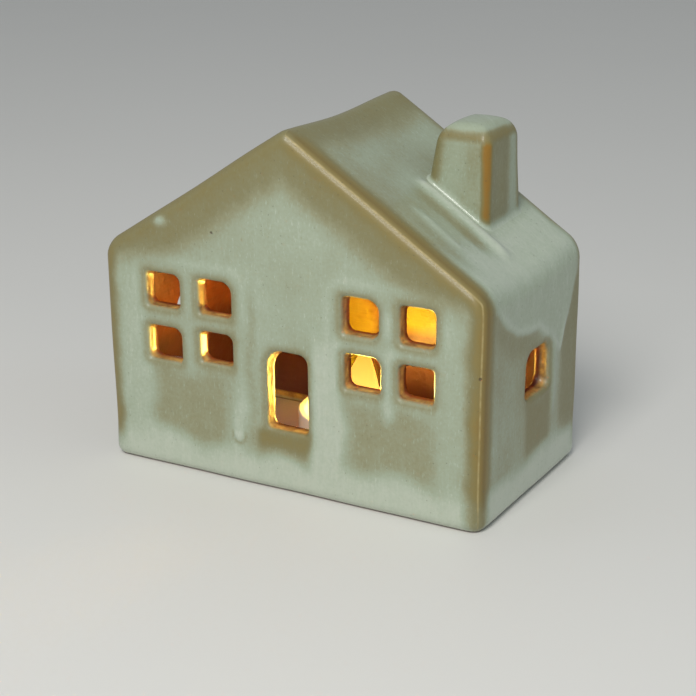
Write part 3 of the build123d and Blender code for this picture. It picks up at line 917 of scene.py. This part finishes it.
# %% Node helpers
def linear(red, green, blue):
    """Colour for a socket from 0 to 255 values, by the usual screen curve."""
    shares = np.array((red, green, blue)) / 255
    curve = np.where(shares <= 0.04045, shares / 12.92, ((shares + 0.055) / 1.055) ** 2.4)
    return (*curve.tolist(), 1.0)


def add_node(tree, kind, **plain):
    """New node of a kind, with its plain properties set."""
    node = tree.nodes.new(kind)
    for name, value in plain.items():
        setattr(node, name, value)
    return node


def feed(tree, node, socket, source):
    """Links a socket from another node's output, or sets it to a plain value."""
    if isinstance(source, bpy.types.NodeSocket):
        tree.links.new(source, node.inputs[socket])
    else:
        node.inputs[socket].default_value = source


def sums(tree, operation, first, second=0.0, third=0.0, clamp=False):
    """Output of a Math node on up to three values."""
    node = add_node(tree, "ShaderNodeMath", operation=operation, use_clamp=clamp)
    feed(tree, node, 0, first)
    feed(tree, node, 1, second)
    feed(tree, node, 2, third)
    return node.outputs[0]


def times(tree, first, second, clamp=False):
    """Product of two values."""
    return sums(tree, "MULTIPLY", first, second, clamp=clamp)


def plus(tree, first, second, clamp=False):
    """Total of two values."""
    return sums(tree, "ADD", first, second, clamp=clamp)


def line_through(tree, value, slope, level, clamp=False):
    """Straight line: the value times a slope, plus a level."""
    return sums(tree, "MULTIPLY_ADD", value, slope, level, clamp=clamp)


def attribute(tree, name):
    """Value of an attribute stored on the points."""
    return add_node(tree, "ShaderNodeAttribute", attribute_name=name).outputs["Fac"]


def noise(tree, vector, scale, detail=2.0, roughness=0.5):
    """Noise value about one half."""
    node = add_node(tree, "ShaderNodeTexNoise")
    feed(tree, node, "Vector", vector)
    feed(tree, node, "Scale", scale)
    feed(tree, node, "Detail", detail)
    feed(tree, node, "Roughness", roughness)
    return node.outputs["Fac"]


def blend_colours(tree, share, first, second):
    """Mix of two colours by a share from 0 to 1."""
    node = add_node(tree, "ShaderNodeMix", data_type="RGBA")
    feed(tree, node, "Factor", share)
    feed(tree, node, 6, first)
    feed(tree, node, 7, second)
    return node.outputs[2]


def colour_steps(tree, value, steps):
    """Colour ramp through (place, colour) steps."""
    node = add_node(tree, "ShaderNodeValToRGB")
    feed(tree, node, "Fac", value)
    stops = node.color_ramp.elements
    while len(stops) < len(steps):
        stops.new(1.0)
    for stop, (place, colour) in zip(stops, steps):
        stop.position = place
        stop.color = colour
    return node.outputs["Color"]


print("screen value 128 is", round(linear(128, 128, 128)[0], 3), "in linear light")

# %% [markdown]
# The next helpers make whole things out of nodes: a group with named inputs, a material whose shader has
# its plain values set, and the bump that a height in millimetres gives.

# %% Helpers for groups and materials
def group_with(name, inputs, outputs):
    """New shader node group with named value inputs and (kind, name) outputs, and its end nodes."""
    group = bpy.data.node_groups.new(name, "ShaderNodeTree")
    for label, default in inputs.items():
        socket = group.interface.new_socket(label, in_out="INPUT", socket_type="NodeSocketFloat")
        socket.default_value = default
    for kind, label in outputs:
        group.interface.new_socket(label, in_out="OUTPUT", socket_type=kind)
    return group, add_node(group, "NodeGroupInput"), add_node(group, "NodeGroupOutput")


def use_group(tree, group, **values):
    """Places a group in a material, sets its inputs and gives its output."""
    node = add_node(tree, "ShaderNodeGroup", node_tree=group)
    for label, value in values.items():
        feed(tree, node, label, value)
    return node.outputs[0]


def new_material(name, **sockets):
    """Material with a Principled shader whose sockets are set; gives the material, tree and shader."""
    material = bpy.data.materials.new(name)
    material.use_nodes = True
    tree = material.node_tree
    shader = tree.nodes["Principled BSDF"]
    for label, value in sockets.items():
        feed(tree, shader, label.replace("_", " "), value)
    return material, tree, shader


def lift_surface(tree, shader, height, strength=1.0):
    """Bump from a height in mm into the shader's normal."""
    node = add_node(tree, "ShaderNodeBump")
    feed(tree, node, "Strength", strength)
    feed(tree, node, "Distance", MM)
    feed(tree, node, "Height", height)
    feed(tree, shader, "Normal", node.outputs["Normal"])


print("a height of 1 in a bump is", MM, "m")

# %% [markdown]
# ## Effects that several finishes share
#
# Three effects come back in several materials, so each is a node group. *Fine grain* is the tiny bump of
# moulded or cast surfaces. *Mottle* is a cloudy change about zero. *Runs* is the same cloudiness pulled
# out along one direction, for glaze streaks.

# %% Shared effects
def make_mottle():
    """Cloudy value about zero, of a size in mm: noise less one half, times the amount."""
    group, start, end = group_with(
        "mottle", {"Size": 3.0, "Amount": 1.0, "Detail": 3.0}, [("NodeSocketFloat", "Value")])
    place = add_node(group, "ShaderNodeTexCoord").outputs["Object"]
    scale = sums(group, "DIVIDE", 1 / MM, start.outputs["Size"])
    cloud = noise(group, place, scale, start.outputs["Detail"])
    centred = sums(group, "SUBTRACT", cloud, 0.5)
    feed(group, end, "Value", times(group, centred, start.outputs["Amount"]))
    return group


def make_runs():
    """Streaks about zero: noise on the stored directions, pulled out along the runs."""
    group, start, end = group_with(
        "runs", {"Width": 1.0, "Length": 10.0, "Amount": 1.0}, [("NodeSocketFloat", "Value")])
    place = add_node(group, "ShaderNodeCombineXYZ")
    feed(group, place, "X", sums(group, "DIVIDE", attribute(group, "across"), start.outputs["Width"]))
    feed(group, place, "Y", sums(group, "DIVIDE", attribute(group, "along"), start.outputs["Length"]))
    streak = noise(group, place.outputs[0], 1.0, 3.0, 0.6)
    centred = sums(group, "SUBTRACT", streak, 0.5)
    feed(group, end, "Value", times(group, centred, start.outputs["Amount"]))
    return group


def make_fine_grain():
    """Bump height in mm of a fine-grained surface: two sizes of noise, the finer at half strength."""
    group, start, end = group_with(
        "fine_grain", {"Size": 0.4, "Height": 0.02}, [("NodeSocketFloat", "Height")])
    place = add_node(group, "ShaderNodeTexCoord").outputs["Object"]
    scale = sums(group, "DIVIDE", 1 / MM, start.outputs["Size"])
    coarse = noise(group, place, scale, 1.0)
    fine = noise(group, place, times(group, scale, 2.3), 1.0)
    both = line_through(group, fine, 0.5, coarse)
    feed(group, end, "Height", times(group, both, start.outputs["Height"]))
    return group


mottle = make_mottle()
runs = make_runs()
fine_grain = make_fine_grain()
print("node groups:", [group.name for group in bpy.data.node_groups])

# %% [markdown]
# ## The reactive glaze
#
# The glaze needs single marks as well as patterns: pinholes where gas broke through, and patches of
# painted light inside. Each is a mask, a distance turned into a number from 0 to 1. A cell texture gives
# many small dots, and the length of an offset from one point gives one dot or one long spot.

# %% Masks for single marks
# Pinholes that the picture shows: middle x, y and z, and radius
pinhole_places = ((-23.9, -34.7, 76.0, 0.5), (61.2, -33.6, 46.2, 0.6))
pinhole_slope = -2.0
# Edge slope of the patches of painted light
painted_light_slope = -1.6


def dots_of_cells(tree, place, size, radius_share, fewest):
    """1 in small dots, one in each cell of a size in mm whose random number is above the fewest."""
    cells = add_node(tree, "ShaderNodeTexVoronoi")
    feed(tree, cells, "Vector", place)
    feed(tree, cells, "Scale", 1 / (size * MM))
    chosen = add_node(tree, "ShaderNodeSeparateColor")
    feed(tree, chosen, "Color", cells.outputs["Color"])
    near_middle = sums(tree, "LESS_THAN", cells.outputs["Distance"], radius_share)
    return times(tree, near_middle, sums(tree, "GREATER_THAN", chosen.outputs[0], fewest))


def on_vectors(tree, operation, first, second=(0, 0, 0)):
    """Node that does one operation on two vectors."""
    node = add_node(tree, "ShaderNodeVectorMath", operation=operation)
    feed(tree, node, 0, first)
    feed(tree, node, 1, second)
    return node


def soft_spot(tree, place, middle, half_sizes, slope):
    """1 round a point in mm: 2 plus the slope times the distance from it in half sizes, held to 0 and 1."""
    offset = on_vectors(tree, "SUBTRACT", place, tuple(value * MM for value in middle))
    scaled = on_vectors(tree, "DIVIDE", offset.outputs["Vector"], tuple(value * MM for value in half_sizes))
    away = on_vectors(tree, "LENGTH", scaled.outputs["Vector"])
    return line_through(tree, away.outputs["Value"], slope, 2.0, clamp=True)


print(len(pinhole_places), "pinholes placed by hand")

# %% [markdown]
# Inside the hollow and on the foot's rim the clay is bare: red-brown, with level lines where the slip
# drained. Low down inside it is darkened with painted shade, and three patches of painted light in pale
# yellow lie on the back wall where the panes look onto it. Both read the place itself, because the
# thinned mesh in there has too few points to carry them.

# %% Bare clay
# Painted light on the inside of the back wall, pale yellow patches: middle, half sizes and share
painted_light_places = (
    ((9.0, 30.0, 39.0), (13.0, 10.0, 7.0), 1.0),
    ((-13.0, 30.0, 33.0), (9.0, 10.0, 10.0), 0.8),
    ((-12.0, 30.0, 13.0), (7.0, 10.0, 9.0), 1.0),
)
painted_shade_top = 35.0
painted_shade_fade = 5.0
painted_shade_strength = 0.85


def bare_clay(tree, place, inside):
    """Colour of unglazed clay: lined and clouded, with painted shade low inside and patches of painted
    light on the back wall.
    """
    lines = use_group(tree, runs, Width=16.0, Length=0.8, Amount=0.9)
    cloud = use_group(tree, mottle, Size=12.0, Amount=1.4, Detail=2.0)
    shade = plus(tree, plus(tree, lines, cloud), 0.5, clamp=True)
    colour = blend_colours(tree, shade, linear(96, 36, 10), linear(140, 64, 18))
    parts = add_node(tree, "ShaderNodeSeparateXYZ")
    feed(tree, parts, 0, place)
    # Painted shade: the bare clay is darkened low down inside the hollow, as if in the shadow of the
    # tealight's cup
    low = line_through(tree, parts.outputs["Z"], -1 / (painted_shade_fade * MM), painted_shade_top / painted_shade_fade, clamp=True)
    painted_shade = line_through(tree, lines, 0.4, times(tree, low, inside), clamp=True)
    colour = blend_colours(tree, times(tree, painted_shade, painted_shade_strength), colour, linear(66, 15, 4))
    # Painted light: pale yellow patches on the inside of the back wall, where the flame's glow is brightest
    painted_light = 0.0
    for middle, half_sizes, share in painted_light_places:
        spot = times(tree, soft_spot(tree, place, middle, half_sizes, painted_light_slope), share)
        painted_light = sums(tree, "MAXIMUM", spot, painted_light)
    painted_light = times(tree, painted_light, line_through(tree, lines, 0.5, 1.0), clamp=True)
    return blend_colours(tree, painted_light, colour, linear(146, 122, 10))


# These patches are painted light on the back wall
print(len(painted_light_places), "spills of glaze on the bare clay")

# %% [markdown]
# On the main arris, between the front and the right side, a broken pale line lies on the thin glaze, partly
# glaze broken pale and partly a painted highlight, with a brown band of painted shade just behind it. The
# cut faces of the openings fired brown and gold in patches.

# %% Main arris and lips
shade_behind = 2.4
# Colours of the painted highlight on the main arris and of the painted shade just behind it
painted_highlight_line = linear(184, 166, 116)
painted_shade_brown = linear(104, 86, 46)


def paint_arris_highlight_and_shade(tree, colour, coat):
    """Colour with the brown band of painted shade and the broken pale line of painted highlight, both only
    where the coat is thin.
    """
    crest = attribute(tree, "crest")
    thin = line_through(tree, coat, -3.2, 1.6, clamp=True)
    # Painted shade: a brown band just behind the arris, on the side that turns from the light
    from_shade = sums(tree, "ABSOLUTE", plus(tree, crest, shade_behind))
    behind = line_through(tree, from_shade, -0.5, 1.0, clamp=True)
    colour = blend_colours(tree, times(tree, times(tree, behind, thin), 0.55), colour, painted_shade_brown)
    # A broken pale line on the arris, partly glaze broken pale and partly a painted highlight
    broken = use_group(tree, mottle, Size=2.2, Amount=1.8, Detail=3.0)
    line = line_through(tree, sums(tree, "ABSOLUTE", crest), -1.7, 1.0, clamp=True)
    line = times(tree, times(tree, line, thin), plus(tree, broken, 0.6, clamp=True))
    return blend_colours(tree, line, colour, painted_highlight_line)


def fire_lips(tree, colour, reveal):
    """Colour with patchy brown and gold on the cut faces of the openings."""
    patches = use_group(tree, mottle, Size=2.4, Amount=2.6, Detail=3.0)
    patches = plus(tree, patches, 0.62, clamp=True)
    fired = blend_colours(tree, patches, linear(120, 72, 24), linear(206, 166, 84))
    return blend_colours(tree, times(tree, reveal, 0.9), colour, fired)


print("line on the arris, shade", shade_behind, "mm behind it")

# %% [markdown]
# Firing disturbs the coat: clouds and grains in it, streaks and milky veils along the runs, and small
# flecks, pale and dark. Thick glaze is disturbed more than thin. The colours go from gold-brown where it
# ran thin to milky where it pooled.

# %% Thickness and its colours
glaze_steps = [
    (0.00, linear(146, 106, 30)),
    (0.08, linear(138, 113, 54)),
    (0.14, linear(133, 117, 64)),
    (0.24, linear(128, 118, 74)),
    (0.34, linear(130, 126, 90)),
    (0.46, linear(143, 143, 112)),
    (0.60, linear(153, 161, 137)),
    (0.72, linear(160, 171, 149)),
    (0.86, linear(173, 183, 164)),
    (1.00, linear(182, 190, 173)),
]


def fired_thickness(tree, coat, broad):
    """The stored coat plus all the disturbances, times how strongly a coat so thick is disturbed."""
    clouds = use_group(tree, mottle, Size=6.0, Amount=0.18, Detail=5.0)
    grains = use_group(tree, mottle, Size=0.9, Amount=0.28, Detail=4.0)
    milk = use_group(tree, runs, Width=1.7, Length=11.0, Amount=6.0)
    milky = times(tree, sums(tree, "SUBTRACT", milk, 0.35, clamp=True), 0.12)
    fleck = use_group(tree, runs, Width=0.6, Length=2.4, Amount=5.0)
    pale_fleck = sums(tree, "SUBTRACT", fleck, 0.45, clamp=True)
    dark_fleck = line_through(tree, fleck, -1.0, -0.75, clamp=True)
    flecks = times(tree, sums(tree, "SUBTRACT", pale_fleck, dark_fleck), 0.42)
    streaks = plus(tree, plus(tree, broad, times(tree, milky, coat)), flecks)
    disturbed = plus(tree, plus(tree, clouds, grains), streaks)
    strength = line_through(tree, coat, 0.9, 0.15, clamp=True)
    return sums(tree, "MULTIPLY_ADD", disturbed, strength, coat, clamp=True)


print("glaze colours:", len(glaze_steps))

# %% [markdown]
# Now the material itself. It is a satin glaze with a clear glossy skin, which a coat on the shader gives:
# strong on thick glaze and on the lips, weak on bare clay. Its surface has wide dimples, a fine orange
# peel and the relief of the streaks, and it sinks at the pinholes.

# %% Glaze material
pinhole_depth = 0.2
bare_foot_share = 0.85


def glaze_height(tree, thickness, reveal, broad, pinhole):
    """Height in mm: dimples and orange peel, plus the streaks, less the pinholes."""
    dimples = use_group(tree, mottle, Size=4.5, Amount=line_through(tree, reveal, 0.9, 0.22), Detail=2.0)
    peel = use_group(tree, fine_grain, Size=0.7, Height=line_through(tree, thickness, -0.02, 0.034))
    marks = plus(tree, times(tree, broad, 0.18), times(tree, pinhole, -pinhole_depth))
    return plus(tree, plus(tree, dimples, peel), marks)


def make_glaze():
    """Material of the whole casting, driven by the numbers stored on its points."""
    material, tree, shader = new_material("celadon_glaze", Coat_Roughness=0.13, Coat_IOR=1.5, IOR=1.5)
    coat, inside, reveal, foot = (attribute(tree, name) for name in ("coat", "inside", "reveal", "foot"))
    place = add_node(tree, "ShaderNodeTexCoord").outputs["Object"]
    broad = use_group(tree, runs, Width=3.4, Length=26.0, Amount=0.14)
    thickness = fired_thickness(tree, coat, broad)
    colour = paint_arris_highlight_and_shade(tree, colour_steps(tree, thickness, glaze_steps), coat)
    colour = fire_lips(tree, colour, reveal)
    bare = sums(tree, "MAXIMUM", inside, times(tree, foot, bare_foot_share))
    colour = blend_colours(tree, bare, colour, bare_clay(tree, place, inside))
    pinhole = dots_of_cells(tree, place, 2.1, 0.085, 0.45)
    colour = blend_colours(tree, times(tree, pinhole, 0.40), colour, linear(92, 88, 68))
    for *middle, radius in pinhole_places:
        dot = soft_spot(tree, place, middle, 3 * (radius,), pinhole_slope)
        pinhole = sums(tree, "MAXIMUM", pinhole, dot)
        colour = blend_colours(tree, times(tree, dot, 0.7), colour, linear(70, 52, 32))
    feed(tree, shader, "Base Color", colour)
    satin = line_through(tree, thickness, -0.12, 0.54)
    feed(tree, shader, "Roughness", sums(tree, "MAXIMUM", times(tree, bare, 0.66), satin))
    gloss = times(tree, line_through(tree, thickness, 0.44, 0.09), line_through(tree, inside, -0.7, 1.0))
    feed(tree, shader, "Coat Weight", sums(tree, "MAXIMUM", gloss, times(tree, reveal, 0.9)))
    lift_surface(tree, shader, glaze_height(tree, thickness, reveal, broad, pinhole))
    return material


celadon_glaze = make_glaze()
for piece in (stoneware_house, stoneware_chimney):
    piece.data.materials.clear()
    piece.data.materials.append(celadon_glaze)
print("glaze material has", len(celadon_glaze.node_tree.nodes), "nodes")

# %% [markdown]
# ## Turned surfaces
#
# The tealight's body and flame are round, so each is a profile turned about an axis: one parameter runs
# along the profile, the other round the circle. Corners of the profile are eased with short curves, and
# where the profile touches the axis, the ring of points becomes one.

# %% Helpers for turned pieces
def eased(corners, radius, steps=4):
    """Profile whose corners are replaced by quadratic curves that start one radius before each corner."""
    corners = np.array(corners, dtype=float)
    to_last = np.roll(corners, 1, axis=0) - corners
    to_next = np.roll(corners, -1, axis=0) - corners
    last_length = np.linalg.norm(to_last, axis=1, keepdims=True)
    next_length = np.linalg.norm(to_next, axis=1, keepdims=True)
    start = corners + to_last * np.minimum(radius / last_length, 0.45)
    end = corners + to_next * np.minimum(radius / next_length, 0.45)
    share = np.linspace(0, 1, steps + 1)[None, :, None]
    curve = (1 - share) ** 2 * start[:, None] + 2 * share * (1 - share) * corners[:, None]
    return (curve + share ** 2 * end[:, None]).reshape(-1, 2)


def closed_grid(grid, profile_closed):
    """Points and outward triangles of a grid (rows by columns by 3) whose columns go right round."""
    rows, columns = grid.shape[:2]
    number = np.arange(rows * columns).reshape(rows, columns)
    below = number if profile_closed else number[:-1]
    above = np.roll(number, -1, axis=0)[:len(below)]
    quads = np.stack([below, np.roll(below, -1, axis=1), np.roll(above, -1, axis=1), above], axis=-1)
    quads = quads.reshape(-1, 4)
    triangles = np.concatenate([quads[:, (0, 1, 2)], quads[:, (0, 2, 3)]])
    flat = grid.reshape(-1, 3)
    _, first, merged = np.unique(np.round(flat, 5), axis=0, return_index=True, return_inverse=True)
    triangles = merged.reshape(-1)[triangles]
    a, b, c = triangles.T
    triangles = triangles[(a != b) & (b != c) & (c != a)]
    points = flat[first]
    a, b, c = (points[corner] for corner in triangles.T)
    volume = np.einsum("ij,ij->i", a, np.cross(b, c)).sum()
    return points, triangles if volume > 0 else triangles[:, ::-1]


def turned(profile, columns):
    """Grid of a profile of (radius, height) points carried round the upright axis."""
    angle = np.linspace(0, 2 * math.pi, columns, endpoint=False)
    radius, height = profile.T
    return np.stack([
        radius[:, None] * np.cos(angle), radius[:, None] * np.sin(angle), height[:, None] + 0 * angle,
    ], axis=-1)


print("an eased square has", len(eased([(0, 0), (1, 0), (1, 1), (0, 1)], 0.2)), "points")

# %% [markdown]
# ## The tealight's cup
#
# An ivory plastic cup whose top is dished like a pool of wax, with a hole for the flame and a socket below
# it. It is turned from the same profile as the CAD piece, and its dish is made slightly wavy, as the
# moulds of these lights imitate melted wax.

# %% Tealight cup
cup_low, cup_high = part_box("tealight_cup")
cup_radius = (cup_high.x - cup_low.x) / 2 / MM
tealight_axis = np.array([(cup_low.x + cup_high.x) / 2, (cup_low.y + cup_high.y) / 2]) / MM
cup_height = cup_high.z / MM
dish_floor = cup_height - 2.2
dish_underside = dish_floor - 1.2
base_seat = cup_radius - 1.2
ledge_radius = base_seat - 0.5
base_top = 2.8
flame_hole = 5.8
socket_inner = 7.1
socket_outer = 8.2
socket_bottom = dish_underside - 3.6
wax_wave = 0.16

cup_profile = eased([
    (base_seat, 0), (cup_radius, 0), (cup_radius, cup_height), (cup_radius - 1.8, cup_height),
    (cup_radius - 4.8, dish_floor), (flame_hole, dish_floor), (flame_hole, dish_underside),
    (socket_inner, dish_underside), (socket_inner, socket_bottom), (socket_outer, socket_bottom),
    (socket_outer, dish_underside), (ledge_radius, dish_underside), (ledge_radius, base_top),
    (base_seat, base_top),
], 0.5)
cup_grid = turned(cup_profile, 144)
cup_angle = np.arctan2(cup_grid[..., 1], cup_grid[..., 0])
cup_reach = np.hypot(cup_grid[..., 0], cup_grid[..., 1])
on_dish = ramp(dish_floor - 0.7, dish_floor - 0.4, cup_grid[..., 2]) * band(cup_reach, 7.5, 16.0, 1.2)
cup_grid[..., 2] += wax_wave * on_dish * (np.sin(3 * cup_angle + 0.6) + 0.6 * np.sin(5 * cup_angle))
cup_grid[..., :2] += tealight_axis
wax_cup = make_piece(
    "wax_cup", bare_mesh("wax_cup", *closed_grid(cup_grid, True)), "tealight",
    "tealight_cup")

# %% [markdown]
# ## The flame
#
# A hollow translucent teardrop stands on the lamp. Its radius swells a little above the cup and narrows
# to a tip that leans, and three shallow flutes wind round it. Inside is the bore for the lamp, so the
# profile begins at the top of the bore and ends at the tip.

# %% Flame
flame_low, flame_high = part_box("flame_lens")
flange_bottom = flame_low.z / MM
flange_radius = (flame_high.y - flame_low.y) / 2 / MM
flame_tip = flame_high.z / MM
flange_height = 1.2
flame_radius = 5.6
flame_lean = 1.3
bore_radius = 2.6
bore_top = flange_bottom + 8.7
flute_depth = 0.045
flame_turn = 2.2

share = np.linspace(0, 1, 40)
swell = np.where(
    share < 0.2, 1 - 0.14 * ((0.2 - share) / 0.2) ** 2,
    np.cos(np.clip((share - 0.2) / 0.8, 0, 1) * math.pi / 2) ** 0.95)
teardrop = np.stack([flame_radius * swell, dish_underside + (flame_tip - dish_underside) * share], axis=1)
nose = np.linspace(math.pi / 2, 0, 7)
bore = np.stack([bore_radius * np.cos(nose), bore_top - bore_radius * (1 - np.sin(nose))], axis=1)
flange = np.array([
    (bore_radius, flange_bottom), (flange_radius, flange_bottom),
    (flange_radius, flange_bottom + flange_height),
])
flame_grid = turned(np.concatenate([bore, flange, teardrop]), 96)
height_share = np.clip((flame_grid[..., 2] - dish_underside) / (flame_tip - dish_underside), 0, 1)
outer_rows = np.zeros(len(flame_grid))
outer_rows[len(bore) + len(flange):] = 1
flame_angle = np.linspace(0, 2 * math.pi, 96, endpoint=False)[None, :]
flute_wave = np.cos(3 * (flame_angle - flame_turn * height_share))
flutes = 1 + flute_depth * flute_wave * ramp(0.05, 0.3, height_share)
flame_grid[..., :2] *= np.where(outer_rows[:, None] > 0, flutes, 1)[..., None]
flame_grid[..., 0] += flame_lean * ramp(0.3, 1.0, height_share) * outer_rows[:, None]
flame_grid[..., :2] += tealight_axis
flame_mesh = bare_mesh("amber_flame", *closed_grid(flame_grid, False))
amber_flame = make_piece("amber_flame", flame_mesh, "tealight", "flame_lens")

# %% [markdown]
# ## Finishes of the tealight
#
# Moulded plastics and rolled or plated metals share one recipe: a colour that is never quite even, a
# gloss that changes with it and a fine grain. Only the numbers differ, so one function makes them all.

# %% Plastic and metal
plastic = {"clouds": (5.0, 1.6, 3.0), "gloss_spread": 0.12, "sockets": {"IOR": 1.49}}
metal = {"clouds": (1.6, 1.8, 4.0), "gloss_spread": 0.18, "sockets": {"Metallic": 1.0}}
plastic_grain = (0.35, 0.012)
clear_grain = (0.6, 0.004)
metal_grain = (0.12, 0.004)


def make_finish(name, look, colour, shade, gloss, grain):
    """Two close colours clouded together, roughness from the same clouds, and a fine grain as a bump."""
    material, tree, shader = new_material(name, **look["sockets"])
    size, amount, detail = look["clouds"]
    cloud = use_group(tree, mottle, Size=size, Amount=amount, Detail=detail)
    share_of_shade = plus(tree, cloud, 0.5, clamp=True)
    feed(tree, shader, "Base Color", blend_colours(tree, share_of_shade, linear(*colour), linear(*shade)))
    feed(tree, shader, "Roughness", line_through(tree, share_of_shade, look["gloss_spread"], gloss))
    lift_surface(tree, shader, use_group(tree, fine_grain, Size=grain[0], Height=grain[1]))
    return material


def finish_with(material, *objects):
    """Gives every material slot of these objects one material."""
    for each in objects:
        if not each.data.materials:
            each.data.materials.append(material)
        for place in range(len(each.data.materials)):
            each.data.materials[place] = material


# Each finish: name, look, colour, shade, roughness, grain, and the pieces that have it
for *finish, pieces in (
    ("ivory_plastic_finish", plastic, (232, 225, 206), (222, 213, 190), 0.38, plastic_grain,
     (wax_cup, nodes["tealight_base"], nodes["battery_cover"])),
    ("white_plastic_finish", plastic, (226, 224, 216), (214, 211, 200), 0.45, plastic_grain,
     (nodes["lamp_retainer"],)),
    ("black_plastic_finish", plastic, (34, 34, 36), (46, 46, 47), 0.42, plastic_grain,
     (nodes["switch_slider"],)),
    ("lamp_epoxy_finish", plastic, (240, 224, 176), (232, 208, 148), 0.12, clear_grain,
     (nodes["lamp"],)),
    ("cell_steel_finish", metal, (198, 198, 196), (178, 178, 176), 0.22, metal_grain,
     (nodes["coin_cell"],)),
    ("contact_steel_finish", metal, (206, 200, 186), (184, 176, 158), 0.26, metal_grain,
     (nodes["negative_contact"], nodes["positive_contact"], nodes["switch_wiper"])),
    ("tinned_wire_finish", metal, (196, 198, 202), (170, 173, 178), 0.24, metal_grain,
     (nodes["lamp_lead_negative"], nodes["lamp_lead_positive"])),
):
    finish_with(make_finish(*finish), *pieces)
print(len(bpy.data.materials), "materials so far")

# %% [markdown]
# The flame is a milky amber plastic that sends out light, brightest round its belly, where the lamp sits.
# What it sends into the room is many times brighter than what the eye can take, so the camera sees the
# same colours at a strength that doesn't clip.

# %% Flame finish
room_glow = 80.0
seen_glow = 1.0


def make_flame_finish():
    """Glowing amber plastic: yellow at the belly and amber at the tip, by height over the flame's top."""
    material, tree, shader = new_material("amber_glow", Base_Color=linear(236, 172, 92), Roughness=0.35)
    place = add_node(tree, "ShaderNodeSeparateXYZ")
    feed(tree, place, 0, add_node(tree, "ShaderNodeTexCoord").outputs["Object"])
    height = sums(tree, "DIVIDE", place.outputs["Z"], flame_tip * MM)
    feed(tree, shader, "Emission Color", colour_steps(tree, height, [
        (0.35, (1.0, 0.64, 0.07, 1)), (0.62, (1.0, 0.76, 0.15, 1)), (0.98, (0.95, 0.44, 0.03, 1)),
    ]))
    seen = add_node(tree, "ShaderNodeLightPath").outputs["Is Camera Ray"]
    strength = line_through(tree, seen, seen_glow - room_glow, room_glow)
    feed(tree, shader, "Emission Strength", strength)
    lift_surface(tree, shader, use_group(tree, fine_grain, Size=0.8, Height=0.03))
    return material


finish_with(make_flame_finish(), amber_flame)
print("the flame glows", room_glow / seen_glow, "times brighter into the room than to the camera")

# %% [markdown]
# ## Table and light
#
# The table is a plain pale disc, so wide that its edge is never seen, with faint clouds in its colour.

# %% Table
table_radius = 6000.0
table_grid = turned(np.array([(0, 0), (0.02, 0), (0.3, 0), (1, 0)]) * table_radius, 64)
table_points, table_faces = closed_grid(table_grid, False)
table = bpy.data.objects.new("table", bare_mesh("table", table_points, table_faces))
bpy.context.scene.collection.objects.link(table)
table_finish, table_tree, table_shader = new_material("pale_table", Roughness=0.55)
table_cloud = use_group(table_tree, mottle, Size=180.0, Amount=0.5, Detail=2.0)
table_shade = plus(table_tree, table_cloud, 0.5, clamp=True)
feed(table_tree, table_shader, "Base Color", blend_colours(
    table_tree, table_shade, linear(226, 224, 220), linear(220, 218, 214)))
table.data.materials.append(table_finish)
print("table:", 2 * table_radius * MM, "m across")

# %% [markdown]
# Soft studio light shows every colour about as it was written. A large soft box stands high in front, a
# little to the right, where the real highlights on the verge say it was. A cooler one lights the right
# wall, a weak one fills from the left, and the surroundings give the rest.

# %% Light
studio_colour = (0.92, 0.97, 1.0, 1)
studio_strength = 0.36


def soft_box(name, azimuth, elevation, distance, side, power, colour):
    """Square light that looks at the house from two angles in degrees and a distance in metres."""
    light = bpy.data.lights.new(name, "AREA")
    light.shape = "SQUARE"
    light.size = side
    light.energy = power
    light.color = colour
    lamp = bpy.data.objects.new(name, light)
    turn, lift = math.radians(azimuth), math.radians(elevation)
    away = Vector((
        math.sin(turn) * math.cos(lift), -math.cos(turn) * math.cos(lift), math.sin(lift)))
    facing = away.to_track_quat("Z", "Y").to_matrix().to_4x4()
    lamp.matrix_world = Matrix.Translation(away * distance) @ facing
    bpy.context.scene.collection.objects.link(lamp)


# Each box: azimuth, elevation, distance and side in metres, power in watts, colour
for name, *measures in (
    ("key_box", 12, 46, 1.1, 0.42, 7.9, (1.0, 0.985, 0.95)),
    ("side_box", 98, 38, 1.2, 0.6, 0.7, (0.62, 0.90, 1.0)),
    ("fill_box", -55, 30, 1.3, 0.8, 0.4, (0.95, 0.98, 1.0)),
):
    soft_box(name, *measures)
world = bpy.data.worlds.new("studio")
bpy.context.scene.world = world
world.use_nodes = True
surroundings = world.node_tree.nodes["Background"]
feed(world.node_tree, surroundings, "Color", studio_colour)
feed(world.node_tree, surroundings, "Strength", studio_strength)
bpy.context.scene.view_settings.view_transform = "Standard"
print("lights:", [light.name for light in bpy.data.lights])
